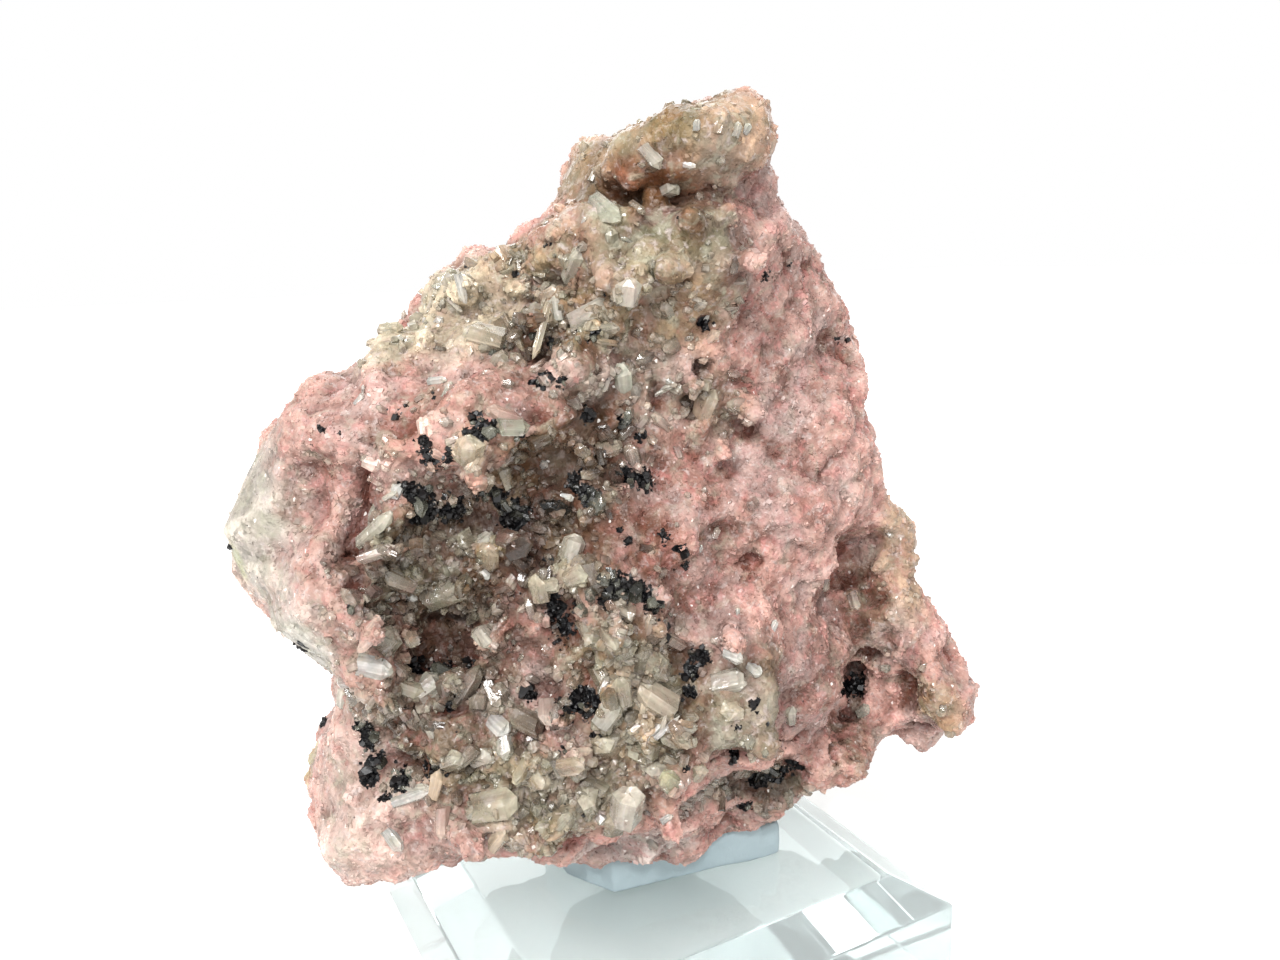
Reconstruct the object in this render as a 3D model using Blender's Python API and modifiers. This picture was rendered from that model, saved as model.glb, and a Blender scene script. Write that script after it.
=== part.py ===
"""Rhodochrosite specimen on a clear acrylic block.

A pink rhodochrosite slab, crusted with quartz prisms and dark sphalerite, stands on a lump of
mineral putty that is pressed onto a bevelled acrylic base. The part stands on z = 0 and its origin
is the centre of the base's underside. Lengths below are in millimetres and are scaled by MM.
"""
import math
import random

import bmesh
import bpy
import numpy as np
from mathutils import Matrix, Quaternion, Vector, noise
from mathutils.bvhtree import BVHTree

MM = 0.001

# Acrylic base: a square block with a polished bevel round its top.
BASE_SIDE = 50.0
BASE_HEIGHT = 13.0
BEVEL_ACROSS = 4.8
BEVEL_DOWN = 2.7
BASE_EDGE_BREAK = 0.4

# Putty: a pressed lump between the base and the specimen's foot.
TOUCH_GAP = 0.3
PUTTY_OUTLINE = ((-11.4, 3.0), (-10.9, -2.4), (-8.0, -8.2), (8.9, -10.8), (11.8, -10.9), (13.4, -7.5),
                 (12.9, 1.0), (10.5, 7.5), (3.0, 10.4), (-6.0, 9.2))
PUTTY_ROUNDING = 0.7

# Specimen: its broad face is turned a little on the base and its foot is pressed flat.
SPECIMEN_TURN = -14.0
SPECIMEN_OFFSET = (0.0, -2.0)
FOOT_HEIGHT = 17.4
SLAB_HALF = 10.0
RIM_HALF = 6.0
LEAST_HALF = 3.0
FRONT_SWELL = 9.0
BACK_SWELL = 11.0
SHOULDER = 13.0
BACK_TAPER = 0.35
TOP_HEIGHT = 95.0

# The slab's outline, x across and z up, clockwise from the left of the overhanging cap.
OUTLINE = (
    (-6.5, 87.5), (-5.5, 90.5), (-3.0, 92.5), (2.5, 94.0), (8.5, 95.0), (10.5, 94.0), (10.5, 89.5),
    (15.0, 83.5), (19.5, 77.0), (23.5, 71.5), (24.0, 67.0), (23.5, 63.0), (26.0, 58.5), (28.0, 54.0),
    (28.5, 49.0), (32.0, 41.0), (35.0, 35.0), (35.0, 30.0), (33.5, 25.0), (30.5, 23.0), (26.5, 25.0),
    (22.5, 23.5), (17.0, 21.0), (11.0, 18.0), (0.0, 17.0), (-8.0, 17.0), (-14.0, 19.5), (-24.0, 20.5),
    (-33.5, 21.5), (-36.5, 24.0), (-37.5, 28.5), (-34.5, 35.0), (-33.0, 41.5), (-36.0, 47.0),
    (-42.5, 53.0), (-41.5, 58.0), (-37.0, 64.0), (-34.0, 68.5), (-28.0, 71.0), (-21.5, 76.0),
    (-16.5, 82.0), (-9.5, 85.5))

# Broad forms of the two faces: name, x, z, half-width, half-height, lift, edge (1 soft, 3 steep).
FRONT_FORMS = (
    ("quartz cap", 2.5, 91.5, 9.0, 3.6, 5.5, 2.5),
    ("cavity under the cap", -1.0, 86.0, 6.0, 2.2, -5.0, 1.5),
    ("greenish quartz knob", 1.5, 80.5, 7.5, 4.5, 3.5, 2.0),
    ("dark slit", -9.0, 77.0, 2.4, 2.8, -4.5, 1.0),
    ("upper left slope", -17.0, 78.5, 10.0, 5.5, -4.5, 1.5),
    ("salmon ridge", -20.0, 68.0, 12.0, 5.0, 4.5, 2.5),
    ("left shoulder", -31.5, 57.0, 6.5, 11.0, 2.5, 1.5),
    ("lower left body", -12.0, 44.0, 24.0, 21.0, 4.5, 4.0),
    ("dark druse", -12.0, 60.5, 10.0, 4.0, -3.0, 2.0),
    ("brown quartz hollow", -21.5, 51.0, 7.5, 7.5, -4.5, 2.0),
    ("black pit", -21.5, 44.5, 3.6, 2.6, -3.0, 1.0),
    ("lower black pit", -28.5, 35.5, 3.0, 4.5, -4.0, 1.0),
    ("middle rib", -6.5, 51.0, 4.0, 10.0, 2.0, 2.0),
    ("quartz shelf", -3.0, 35.0, 12.0, 7.0, 2.5, 2.5),
    ("bottom left corner", -31.0, 25.5, 5.5, 4.5, 3.0, 2.0),
    ("peach bulge", 11.5, 56.0, 6.0, 5.0, 3.5, 1.5),
    ("upper right face", 13.0, 71.0, 8.0, 9.0, -1.5, 1.5),
    ("tan crystal bay", 3.0, 66.5, 4.0, 4.5, -3.5, 1.0),
    ("right recess", 19.5, 46.0, 4.5, 9.0, -6.5, 1.5),
    ("right recess foot", 21.0, 34.0, 4.0, 7.0, -6.5, 1.5),
    ("right lump", 19.5, 39.5, 3.2, 3.0, 4.5, 1.0),
    ("right lower lump", 19.5, 28.0, 3.6, 3.2, 4.5, 1.0),
    ("far right swell", 30.0, 36.0, 5.0, 8.0, 3.0, 2.0),
    ("gap above the putty", 6.0, 20.5, 3.5, 2.0, -3.0, 1.5))
BACK_FORMS = (
    ("upper hollow", 4.0, 78.0, 8.0, 9.0, -3.5, 1.5),
    ("broad belly", -8.0, 44.0, 20.0, 16.0, 4.0, 2.0),
    ("diagonal ledge", 14.0, 58.0, 10.0, 8.0, 3.5, 2.5),
    ("left scoop", -27.0, 56.0, 8.0, 9.0, -3.5, 1.5),
    ("low shelf", 18.0, 32.0, 13.0, 6.0, 3.0, 2.5),
    ("broken corner", -28.0, 27.0, 8.0, 6.0, -3.5, 2.0))

# Rounded lumps of intergrown rhodochrosite, and blocks that broke along flat faces.
LUMP_LAYERS = ((10.0, 3.0), (5.6, 3.0), (3.2, 1.3))
LUMP_LEVEL = 0.45
BLOCK_SIZE = 7.5
BLOCK_LIFT = 2.2
SCULPT_VOXEL = 1.1
BODY_TRIANGLES = 5300

# Quartz prisms and dark crystals grown out of the faces.
# name, side (-1 front, 1 back), x, z, half-width, half-height, how many, length, width, dark
CRYSTAL_ZONES = (
    ("cap", -1, 1.0, 90.0, 7.0, 2.5, 5, 5.0, 3.0, False),
    ("green knob", -1, 0.0, 80.5, 7.0, 5.0, 8, 7.0, 3.0, False),
    ("upper slope", -1, -15.5, 75.5, 10.0, 3.5, 10, 6.5, 2.8, False),
    ("tan bay", -1, 3.5, 66.5, 3.5, 5.0, 4, 6.5, 2.6, False),
    ("brown hollow", -1, -22.0, 51.0, 8.0, 8.0, 9, 6.5, 2.6, False),
    ("quartz shelf", -1, -3.0, 40.0, 10.0, 9.0, 12, 6.0, 3.0, False),
    ("bottom band", -1, -13.0, 29.5, 11.0, 3.0, 8, 6.0, 3.2, False),
    ("right band", -1, 25.0, 46.0, 2.5, 8.0, 3, 5.0, 2.6, False),
    ("dark druse", -1, -13.5, 60.0, 10.0, 4.5, 8, 4.0, 3.2, True),
    ("dark middle", -1, -6.5, 49.0, 3.0, 3.5, 3, 4.0, 3.0, True),
    ("dark lower left", -1, -28.5, 35.5, 3.5, 5.0, 4, 4.0, 3.0, True),
    ("dark lower middle", -1, -11.0, 38.5, 3.0, 2.0, 2, 4.0, 3.0, True),
    ("back top", 1, 2.0, 82.0, 9.0, 7.0, 5, 6.5, 3.0, False),
    ("back middle", 1, -14.0, 62.0, 14.0, 9.0, 6, 6.5, 3.0, False),
    ("back low", 1, 12.0, 36.0, 15.0, 8.0, 6, 6.5, 3.0, False))
LONG_PRISMS = (("long clear prism", -28.5, 56.5, 9.5, 1.6, (0.86, -0.4, 0.22)),
               ("white prism", -28.5, 43.5, 5.5, 1.6, (0.7, -0.6, -0.3)),
               ("cream prism", -5.8, 27.0, 4.6, 2.6, (0.1, -0.75, 0.65)))
PRISM_SEED = 11
PRISM_PROFILE = ((0.0, 0.0), (0.46, 0.02), (0.46, 0.74), (0.0, 1.0))
DARK_PROFILE = ((0.0, 0.0), (0.5, 0.35), (0.36, 0.75), (0.0, 0.95))
TRIES_PER_CRYSTAL = 40
CRYSTAL_SPACING = 1.15
LEAN = 0.9
SUNK_SHARE = 0.35
FAR_OUT = 60.0
FOOT_CLEARANCE = 6.0


def linear(red, green, blue):
    """Turn an 8-bit display colour into the linear values that a shader takes."""
    return tuple((channel / 255.0) ** 2.2 for channel in (red, green, blue)) + (1.0,)


def material(name, colour, roughness, transmission=0.0, ior=1.5):
    """Make one Principled material."""
    made = bpy.data.materials.new(name)
    made.use_nodes = True
    made.diffuse_color = colour
    shader = made.node_tree.nodes["Principled BSDF"]
    shader.inputs["Base Color"].default_value = colour
    shader.inputs["Roughness"].default_value = roughness
    shader.inputs["Transmission Weight"].default_value = transmission
    shader.inputs["IOR"].default_value = ior
    return made


def collection(name):
    """Make a collection in the scene."""
    made = bpy.data.collections.new(name)
    bpy.context.scene.collection.children.link(made)
    return made


def mesh_object(name, mesh, home, *materials):
    """Put a mesh in the scene as a named object."""
    made = bpy.data.objects.new(name, mesh)
    for item in materials:
        mesh.materials.append(item)
    home.objects.link(made)
    return made


def baked_mesh(source):
    """Return a mesh of an object with its modifiers and placement applied."""
    graph = bpy.context.evaluated_depsgraph_get()
    mesh = bpy.data.meshes.new_from_object(source.evaluated_get(graph), depsgraph=graph)
    mesh.transform(source.matrix_world)
    return mesh


def remove_with_data(item):
    """Delete a helper object."""
    bpy.data.objects.remove(item, do_unlink=True)


def plate(name, points, half_thickness):
    """Extrude a closed outline both ways out of its plane and weld its caps."""
    curve = bpy.data.curves.new(name, "CURVE")
    curve.dimensions = "2D"
    curve.fill_mode = "BOTH"
    curve.extrude = half_thickness * MM
    spline = curve.splines.new("POLY")
    spline.points.add(len(points) - 1)
    for point, (across, along) in zip(spline.points, points):
        point.co = (across * MM, along * MM, 0.0, 1.0)
    spline.use_cyclic_u = True
    helper = bpy.data.objects.new(name, curve)
    bpy.context.scene.collection.objects.link(helper)
    mesh = baked_mesh(helper)
    remove_with_data(helper)
    sheet = bmesh.new()
    sheet.from_mesh(mesh)
    bmesh.ops.remove_doubles(sheet, verts=sheet.verts, dist=0.01 * MM)
    bmesh.ops.recalc_face_normals(sheet, faces=sheet.faces)
    sheet.to_mesh(mesh)
    sheet.free()
    return mesh


def build_base(home, clear):
    """Acrylic block: a cube whose top face is raised and drawn in to make the polished bevel."""
    block = bmesh.new()
    body_height = BASE_HEIGHT - BEVEL_DOWN
    bmesh.ops.create_cube(block, size=1.0)
    bmesh.ops.scale(block, vec=Vector((BASE_SIDE, BASE_SIDE, body_height)) * MM, verts=block.verts)
    bmesh.ops.translate(block, vec=(0.0, 0.0, body_height / 2 * MM), verts=block.verts)
    top = max(block.faces, key=lambda face: face.calc_center_median().z)
    raised = bmesh.ops.extrude_face_region(block, geom=[top])
    bmesh.ops.delete(block, geom=[top], context="FACES")
    crown = [item for item in raised["geom"] if isinstance(item, bmesh.types.BMVert)]
    bmesh.ops.translate(block, vec=(0.0, 0.0, BEVEL_DOWN * MM), verts=crown)
    draw_in = (BASE_SIDE - 2 * BEVEL_ACROSS) / BASE_SIDE
    bmesh.ops.scale(block, vec=(draw_in, draw_in, 1.0), verts=crown)
    mesh = bpy.data.meshes.new("acrylic_base")
    block.to_mesh(mesh)
    block.free()
    base = mesh_object("acrylic_base", mesh, home, clear)
    edges = base.modifiers.new("broken edges", "BEVEL")
    edges.width = BASE_EDGE_BREAK * MM
    edges.segments = 1
    edges.limit_method = "ANGLE"
    edges.angle_limit = math.radians(20.0)
    return base


def build_putty(home, dull):
    """Putty: a flat pressed pad with softened edges and slightly slumped sides."""
    height = FOOT_HEIGHT - BASE_HEIGHT - 2 * TOUCH_GAP
    mesh = plate("putty", PUTTY_OUTLINE, height / 2)
    centre = BASE_HEIGHT + TOUCH_GAP + height / 2
    mesh.transform(Matrix.Translation((0.0, 0.0, centre * MM)))
    putty = mesh_object("putty", mesh, home, dull)
    soft = putty.modifiers.new("soft edges", "BEVEL")
    soft.width = PUTTY_ROUNDING * MM
    soft.segments = 3
    soft.limit_method = "ANGLE"
    soft.angle_limit = math.radians(50.0)
    return putty


def rim_distance(across, up):
    """Distance of each point from the outline, measured in the slab's plane."""
    corners = np.array(OUTLINE)
    nearest = np.full(len(across), 1e9)
    for start, end in zip(corners, np.roll(corners, -1, axis=0)):
        run = end - start
        share = ((across - start[0]) * run[0] + (up - start[1]) * run[1]) / run.dot(run)
        share = np.clip(share, 0.0, 1.0)
        gap = np.hypot(across - start[0] - share * run[0], up - start[1] - share * run[1])
        nearest = np.minimum(nearest, gap)
    return nearest


def face_depth(across, up, swell, forms):
    """How far a face stands out from the slab's middle plane."""
    share = np.clip(rim_distance(across, up) / SHOULDER, 0.0, 1.0)
    depth = RIM_HALF + swell * np.sqrt(1.0 - (1.0 - share) ** 2)
    for _, x, z, half_width, half_height, lift, edge in forms:
        reach = ((across - x) / half_width) ** 2 + ((up - z) / half_height) ** 2
        depth += lift * np.exp(-reach ** edge)
    return np.maximum(depth, LEAST_HALF)


def lump_height(point):
    """Height of the rounded lumps and the broken blocks at a point given in millimetres."""
    height = 0.0
    for size, lift in LUMP_LAYERS:
        distances, _ = noise.voronoi(point / size)
        height += lift * (LUMP_LEVEL - distances[0])
    _, seeds = noise.voronoi(point / BLOCK_SIZE)
    return height + BLOCK_LIFT * noise.noise(seeds[0] * BLOCK_SIZE)


def remeshed(mesh, voxel, triangles=None):
    """Rebuild a closed mesh on an even grid, then thin it to a number of triangles."""
    helper = bpy.data.objects.new("helper", mesh)
    bpy.context.scene.collection.objects.link(helper)
    grid = helper.modifiers.new("even grid", "REMESH")
    grid.mode = "VOXEL"
    grid.voxel_size = voxel * MM
    if triangles:
        quads = len(baked_mesh(helper).polygons)
        thin = helper.modifiers.new("thinned", "DECIMATE")
        thin.ratio = triangles / (2.0 * quads)
        thin.use_collapse_triangulate = True
    result = baked_mesh(helper)
    remove_with_data(helper)
    return result


def sculpted_body():
    """The slab: outline, swollen faces with their forms, then lumps and a pressed foot."""
    block = plate("slab", OUTLINE, SLAB_HALF)
    block.transform(Matrix.Rotation(math.radians(90.0), 4, "X"))
    mesh = remeshed(block, SCULPT_VOXEL)
    count = len(mesh.vertices)
    flat = np.empty(count * 3)
    mesh.vertices.foreach_get("co", flat)
    points = flat.reshape(-1, 3) / MM
    across, through, up = points.T
    front = face_depth(across, up, FRONT_SWELL, FRONT_FORMS)
    climb = np.clip((up - FOOT_HEIGHT) / (TOP_HEIGHT - FOOT_HEIGHT), 0.0, 1.0)
    back = face_depth(across, up, BACK_SWELL, BACK_FORMS) * (1.0 - BACK_TAPER * climb)
    points[:, 1] = through / SLAB_HALF * np.where(through < 0.0, front, back)
    mesh.vertices.foreach_set("co", (points * MM).ravel())
    mesh.update()
    normals = np.empty(count * 3)
    mesh.vertices.foreach_get("normal", normals)
    lumps = np.array([lump_height(Vector(point)) for point in points])
    points += normals.reshape(-1, 3) * lumps[:, None]
    points[:, 2] = np.maximum(points[:, 2], FOOT_HEIGHT)
    mesh.vertices.foreach_set("co", (points * MM).ravel())
    mesh.update()
    return remeshed(mesh, SCULPT_VOXEL, BODY_TRIANGLES)


def turned_crystal(name, sides, profile):
    """Spin a profile of (radius, height) points into one closed crystal of unit size."""
    crystal = bmesh.new()
    points = [crystal.verts.new((radius, 0.0, height)) for radius, height in profile]
    edges = [crystal.edges.new(pair) for pair in zip(points, points[1:])]
    bmesh.ops.spin(crystal, geom=points + edges, cent=(0.0, 0.0, 0.0), axis=(0.0, 0.0, 1.0),
                   angle=math.tau, steps=sides, use_merge=True)
    bmesh.ops.remove_doubles(crystal, verts=crystal.verts, dist=0.0001)
    bmesh.ops.recalc_face_normals(crystal, faces=crystal.faces)
    mesh = bpy.data.meshes.new(name)
    crystal.to_mesh(mesh)
    crystal.free()
    return mesh


def surface_tree(mesh):
    """Search tree of a mesh, for finding where a crystal is rooted."""
    solid = bmesh.new()
    solid.from_mesh(mesh)
    tree = BVHTree.FromBMesh(solid)
    solid.free()
    return tree


def stays_over_face(tree, tip, side):
    """Say whether a crystal's tip is still in front of the slab, seen square on."""
    watch = Vector((tip.x, side * FAR_OUT * MM, tip.z))
    return tree.ray_cast(watch, Vector((0.0, -side, 0.0)))[0] is not None


def scattered_crystals(body, chance):
    """Choose a root, a direction and a size for every crystal of every zone."""
    tree = surface_tree(body)
    chosen = []
    for _, side, x, z, half_width, half_height, count, length, width, dark in CRYSTAL_ZONES:
        placed = 0
        for _ in range(count * TRIES_PER_CRYSTAL):
            if placed == count:
                break
            turn = chance.uniform(0.0, math.tau)
            reach = math.sqrt(chance.random())
            start = Vector((x + half_width * reach * math.cos(turn), side * FAR_OUT,
                            z + half_height * reach * math.sin(turn))) * MM
            size = chance.uniform(0.75, 1.25)
            root, normal, _, _ = tree.ray_cast(start, Vector((0.0, -side, 0.0)))
            lean = Vector([chance.uniform(-1.0, 1.0) for _ in range(3)])
            if root is None or root.z < (FOOT_HEIGHT + FOOT_CLEARANCE) * MM:
                continue
            spacing = CRYSTAL_SPACING * width * size * MM
            if any((root - other[0]).length < spacing for other in chosen):
                continue
            direction = (normal + LEAN * lean).normalized()
            if not stays_over_face(tree, root + direction * length * size * MM, side):
                continue
            chosen.append((root, direction, length * size, width * size, dark))
            placed += 1
    for _, x, z, length, width, direction in LONG_PRISMS:
        root, _, _, _ = tree.ray_cast(Vector((x, -FAR_OUT, z)) * MM, Vector((0.0, 1.0, 0.0)))
        chosen.append((root, Vector(direction).normalized(), length, width, False))
    return chosen


def crystal_cluster(body, home, quartz, dark_mineral):
    """Gather every crystal in one mesh, each with its root sunk into the slab."""
    chance = random.Random(PRISM_SEED)
    prism = turned_crystal("quartz prism", 6, PRISM_PROFILE)
    blocky = turned_crystal("dark crystal", 4, DARK_PROFILE)
    cluster = bmesh.new()
    for root, direction, length, width, dark in scattered_crystals(body, chance):
        turned = direction.to_track_quat("Z", "Y") @ Quaternion((0.0, 0.0, 1.0), chance.uniform(0.0, 1.0))
        sunk = root - direction * SUNK_SHARE * length * MM
        place = Matrix.LocRotScale(sunk, turned, Vector((width, width, length)) * MM)
        first_vertex = len(cluster.verts)
        first_face = len(cluster.faces)
        cluster.from_mesh(blocky if dark else prism)
        cluster.verts.ensure_lookup_table()
        cluster.faces.ensure_lookup_table()
        bmesh.ops.transform(cluster, matrix=place, verts=cluster.verts[first_vertex:])
        for face in cluster.faces[first_face:]:
            face.material_index = int(dark)
    mesh = bpy.data.meshes.new("crystals")
    cluster.to_mesh(mesh)
    cluster.free()
    crystals = mesh_object("crystals", mesh, home, quartz, dark_mineral)
    crystals.hide_render = True
    crystals.display_type = "WIRE"
    return crystals


def build_specimen(home, tools, pink, quartz, dark_mineral):
    """The specimen: the slab with its crystals joined on, turned on the base."""
    body = sculpted_body()
    crystals = crystal_cluster(body, tools, quartz, dark_mineral)
    specimen = mesh_object("rhodochrosite_specimen", body, home, pink, quartz, dark_mineral)
    across, along = SPECIMEN_OFFSET
    place = Matrix.Translation(Vector((across, along, 0.0)) * MM)
    place @= Matrix.Rotation(math.radians(SPECIMEN_TURN), 4, "Z")
    specimen.matrix_world = place
    crystals.matrix_world = place
    grown = specimen.modifiers.new("grown crystals", "BOOLEAN")
    grown.operation = "UNION"
    grown.solver = "EXACT"
    grown.use_self = True
    grown.material_mode = "TRANSFER"
    grown.object = crystals
    return specimen


def main():
    for item in list(bpy.data.objects):
        bpy.data.objects.remove(item, do_unlink=True)
    home = collection("rhodochrosite specimen on acrylic base")
    tools = collection("cutters")
    pink = material("pink rhodochrosite", linear(222, 158, 150), 0.45)
    quartz = material("pale quartz", linear(205, 190, 160), 0.25)
    dark_mineral = material("dark sphalerite", linear(38, 38, 42), 0.3)
    dull = material("grey-blue putty", linear(168, 178, 198), 0.75)
    clear = material("clear acrylic", linear(225, 245, 245), 0.03, transmission=1.0, ior=1.49)
    build_base(home, clear)
    build_putty(home, dull)
    build_specimen(home, tools, pink, quartz, dark_mineral)


main()
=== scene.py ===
# %% [markdown]
# # A rhodochrosite specimen on its acrylic block
#
# This lesson dresses a collector's stone: a slab of pink, sugary rhodochrosite, crusted with pale
# quartz and small dark sphalerite crystals. It stands on a lump of grey-blue putty on a clear
# bevelled block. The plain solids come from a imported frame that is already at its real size, in
# metres, with +Z up and the origin under the middle of the block. Nothing here moves or resizes
# them: each solid is replaced by a finer piece in the same place.

import math

import bmesh
import bpy
import numpy as np
from mathutils import Matrix, Vector, noise
from mathutils.bvhtree import BVHTree


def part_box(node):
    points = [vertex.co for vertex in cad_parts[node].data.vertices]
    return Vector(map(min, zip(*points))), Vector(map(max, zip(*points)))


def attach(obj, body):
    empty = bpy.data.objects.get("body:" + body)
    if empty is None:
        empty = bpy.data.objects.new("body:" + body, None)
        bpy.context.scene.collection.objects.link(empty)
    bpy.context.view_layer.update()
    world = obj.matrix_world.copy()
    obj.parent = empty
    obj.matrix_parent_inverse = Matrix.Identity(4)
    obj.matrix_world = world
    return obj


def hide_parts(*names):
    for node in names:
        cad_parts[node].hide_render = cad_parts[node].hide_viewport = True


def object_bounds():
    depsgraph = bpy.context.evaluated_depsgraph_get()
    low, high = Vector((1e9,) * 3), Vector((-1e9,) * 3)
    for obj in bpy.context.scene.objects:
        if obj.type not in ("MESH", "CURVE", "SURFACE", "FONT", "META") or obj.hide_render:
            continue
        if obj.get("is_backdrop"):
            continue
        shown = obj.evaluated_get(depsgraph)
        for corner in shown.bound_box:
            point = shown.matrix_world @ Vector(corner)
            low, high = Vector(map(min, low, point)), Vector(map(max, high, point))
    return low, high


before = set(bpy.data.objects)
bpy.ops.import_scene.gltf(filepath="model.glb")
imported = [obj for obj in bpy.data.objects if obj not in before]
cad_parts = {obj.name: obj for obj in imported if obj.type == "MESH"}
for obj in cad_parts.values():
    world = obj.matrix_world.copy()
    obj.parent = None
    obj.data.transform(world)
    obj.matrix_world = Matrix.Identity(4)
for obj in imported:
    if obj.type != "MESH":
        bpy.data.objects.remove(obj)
cad_low, cad_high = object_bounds()
MM = 0.001
noise.seed_set(7)  # Any fixed seed will do: it makes every run grow the same stone.
print("solids:", sorted(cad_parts))
print("box in mm:", [round(side / MM, 1) for side in cad_high - cad_low])

# %% [markdown]
# ## Camera
#
# The stone is looked at from very near, as with a telephone held a hand's width away, so the
# perspective is strong and the lens is wide. The camera stands left of the block's front, turned
# towards its middle, a little tipped and not quite level.

# %% Camera
IMAGE_WIDTH = 1280
IMAGE_HEIGHT = 960
SENSOR_MM = 36.0
FOCAL_PIXELS = 1011.1
CAMERA_PLACE = Vector((-49.5, -96.1, 80.4)) * MM
CAMERA_HEADING = math.radians(-27.8)
CAMERA_DOWN = math.radians(12.4)
CAMERA_ROLL = math.radians(1.87)

level_right = Vector((math.cos(CAMERA_HEADING), math.sin(CAMERA_HEADING), 0.0))
level_ahead = Vector((-math.sin(CAMERA_HEADING), math.cos(CAMERA_HEADING), 0.0))
camera_ahead = math.cos(CAMERA_DOWN) * level_ahead - Vector((0.0, 0.0, math.sin(CAMERA_DOWN)))
tipped_up = math.sin(CAMERA_DOWN) * level_ahead + Vector((0.0, 0.0, math.cos(CAMERA_DOWN)))
camera_right = math.cos(CAMERA_ROLL) * level_right - math.sin(CAMERA_ROLL) * tipped_up
camera_up = math.sin(CAMERA_ROLL) * level_right + math.cos(CAMERA_ROLL) * tipped_up

camera_data = bpy.data.cameras.new("camera")
camera_data.sensor_width = SENSOR_MM
camera_data.lens = FOCAL_PIXELS * SENSOR_MM / IMAGE_WIDTH
camera_data.clip_start = 5.0 * MM
camera = bpy.data.objects.new("camera", camera_data)
bpy.context.scene.collection.objects.link(camera)
turned = Matrix((camera_right, camera_up, -camera_ahead)).transposed().to_4x4()
camera.matrix_world = Matrix.Translation(CAMERA_PLACE) @ turned
bpy.context.scene.camera = camera
print("lens in mm:", round(camera_data.lens, 2))

# %% [markdown]
# ## Finding a place on the stone
#
# Features such as one bright crystal are noted by where they show in a 1280 by 960 view. A straight
# line from the camera through that spot is followed until it meets the solid, so that each feature
# sits on the stone itself, seen from any side. A feature on the very edge may be missed by its line:
# several places along the line are then tried, and the part of the stone nearest to one is taken.

# %% Search tree of the stone, and a place under a spot of the view
EDGE_DISTANCES_MM = range(80, 160, 2)


def mesh_tree(item):
    """Search tree of an object's mesh."""
    solid = bmesh.new()
    solid.from_mesh(item.data)
    tree = BVHTree.FromBMesh(solid)
    solid.free()
    return tree


stone_tree = mesh_tree(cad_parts["rhodochrosite_specimen"])


def place_under(across, down, tree=stone_tree):
    """Where a line through a spot of the view meets the stone, with the way out of its surface."""
    way = camera_ahead + camera_right * (across - IMAGE_WIDTH / 2) / FOCAL_PIXELS
    way += camera_up * (IMAGE_HEIGHT / 2 - down) / FOCAL_PIXELS
    way.normalize()
    spot, outward, _, _ = tree.ray_cast(CAMERA_PLACE, way)
    if spot is None:
        found = [tree.find_nearest(CAMERA_PLACE + way * far * MM) for far in EDGE_DISTANCES_MM]
        spot, outward, _, _ = min(found, key=lambda hit: hit[3])
    return spot, outward


print("middle of the stone in mm:", [round(value / MM, 1) for value in place_under(600, 500)[0]])

# %% [markdown]
# ## Writing a material as sums
#
# A small wrapper lets a node socket be added and multiplied like a number. One method makes any
# other node. Colours go through Mix and Vector Math nodes, because a Math node would turn them grey.

# %% Socket wrapper
class Wire:
    """A node socket that can be used in sums."""

    def __init__(self, tree, socket):
        self.tree = tree
        self.socket = socket

    def node(self, kind, settings=None, output=0, **inputs):
        """Make a node, set its settings, then its sockets by name or by number (as in _0)."""
        made = self.tree.nodes.new(kind)
        for name, value in (settings or {}).items():
            setattr(made, name, value)
        for name, value in inputs.items():
            key = int(name[1:]) if name[0] == "_" else name.replace("_", " ")
            connect(self.tree, value, made.inputs[key])
        return Wire(self.tree, made.outputs[output])

    def sum_node(self, operation, first, second=0.0):
        return self.node("ShaderNodeMath", {"operation": operation}, _0=first, _1=second)

    def __add__(self, other):
        return self.sum_node("ADD", self, other)

    def __sub__(self, other):
        return self.sum_node("SUBTRACT", self, other)

    def __rsub__(self, other):
        return self.sum_node("SUBTRACT", other, self)

    def __mul__(self, other):
        return self.sum_node("MULTIPLY", self, other)

    def __pow__(self, other):
        return self.sum_node("POWER", self, other)

    __radd__ = __add__
    __rmul__ = __mul__

    def within(self, low, high):
        """Rise from 0 at low to 1 at high, smoothly."""
        return self.node("ShaderNodeMapRange", {"interpolation_type": "SMOOTHSTEP"},
                         _0=self, _1=low, _2=high)

    def tinted(self, colour, share):
        """Mix this colour towards another one."""
        return mixed(self, share, self, colour)

    def brightened(self, amount):
        """Multiply this colour or vector by a number."""
        return self.node("ShaderNodeVectorMath", {"operation": "SCALE"}, _0=self, Scale=amount)

    def moved(self, shift):
        """Add a vector to this one."""
        return self.node("ShaderNodeVectorMath", {"operation": "ADD"}, _0=self, _1=shift)

    def unit_length(self):
        """This vector at a length of one."""
        return self.node("ShaderNodeVectorMath", {"operation": "NORMALIZE"}, _0=self)

    def stored(self, name, output=2):
        """What the mesh keeps under a name: output 0 is a colour, 1 a vector and 2 a number."""
        return self.node("ShaderNodeAttribute", {"attribute_name": name}, output=output)


def mixed(wire, share, first, second):
    """Mix two colours: a share of 0 gives the first and 1 the second."""
    return wire.node("ShaderNodeMix", {"data_type": "RGBA"}, output=2, _0=share, _6=first, _7=second)


def connect(tree, value, socket):
    """Link a wire to a socket, or set the socket to a plain value."""
    if isinstance(value, Wire):
        tree.links.new(value.socket, socket)
    else:
        socket.default_value = value


def linear(red, green, blue):
    """Turn an 8-bit display colour into the linear values that a shader takes."""
    return tuple((channel / 255.0) ** 2.2 for channel in (red, green, blue)) + (1.0,)


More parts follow.
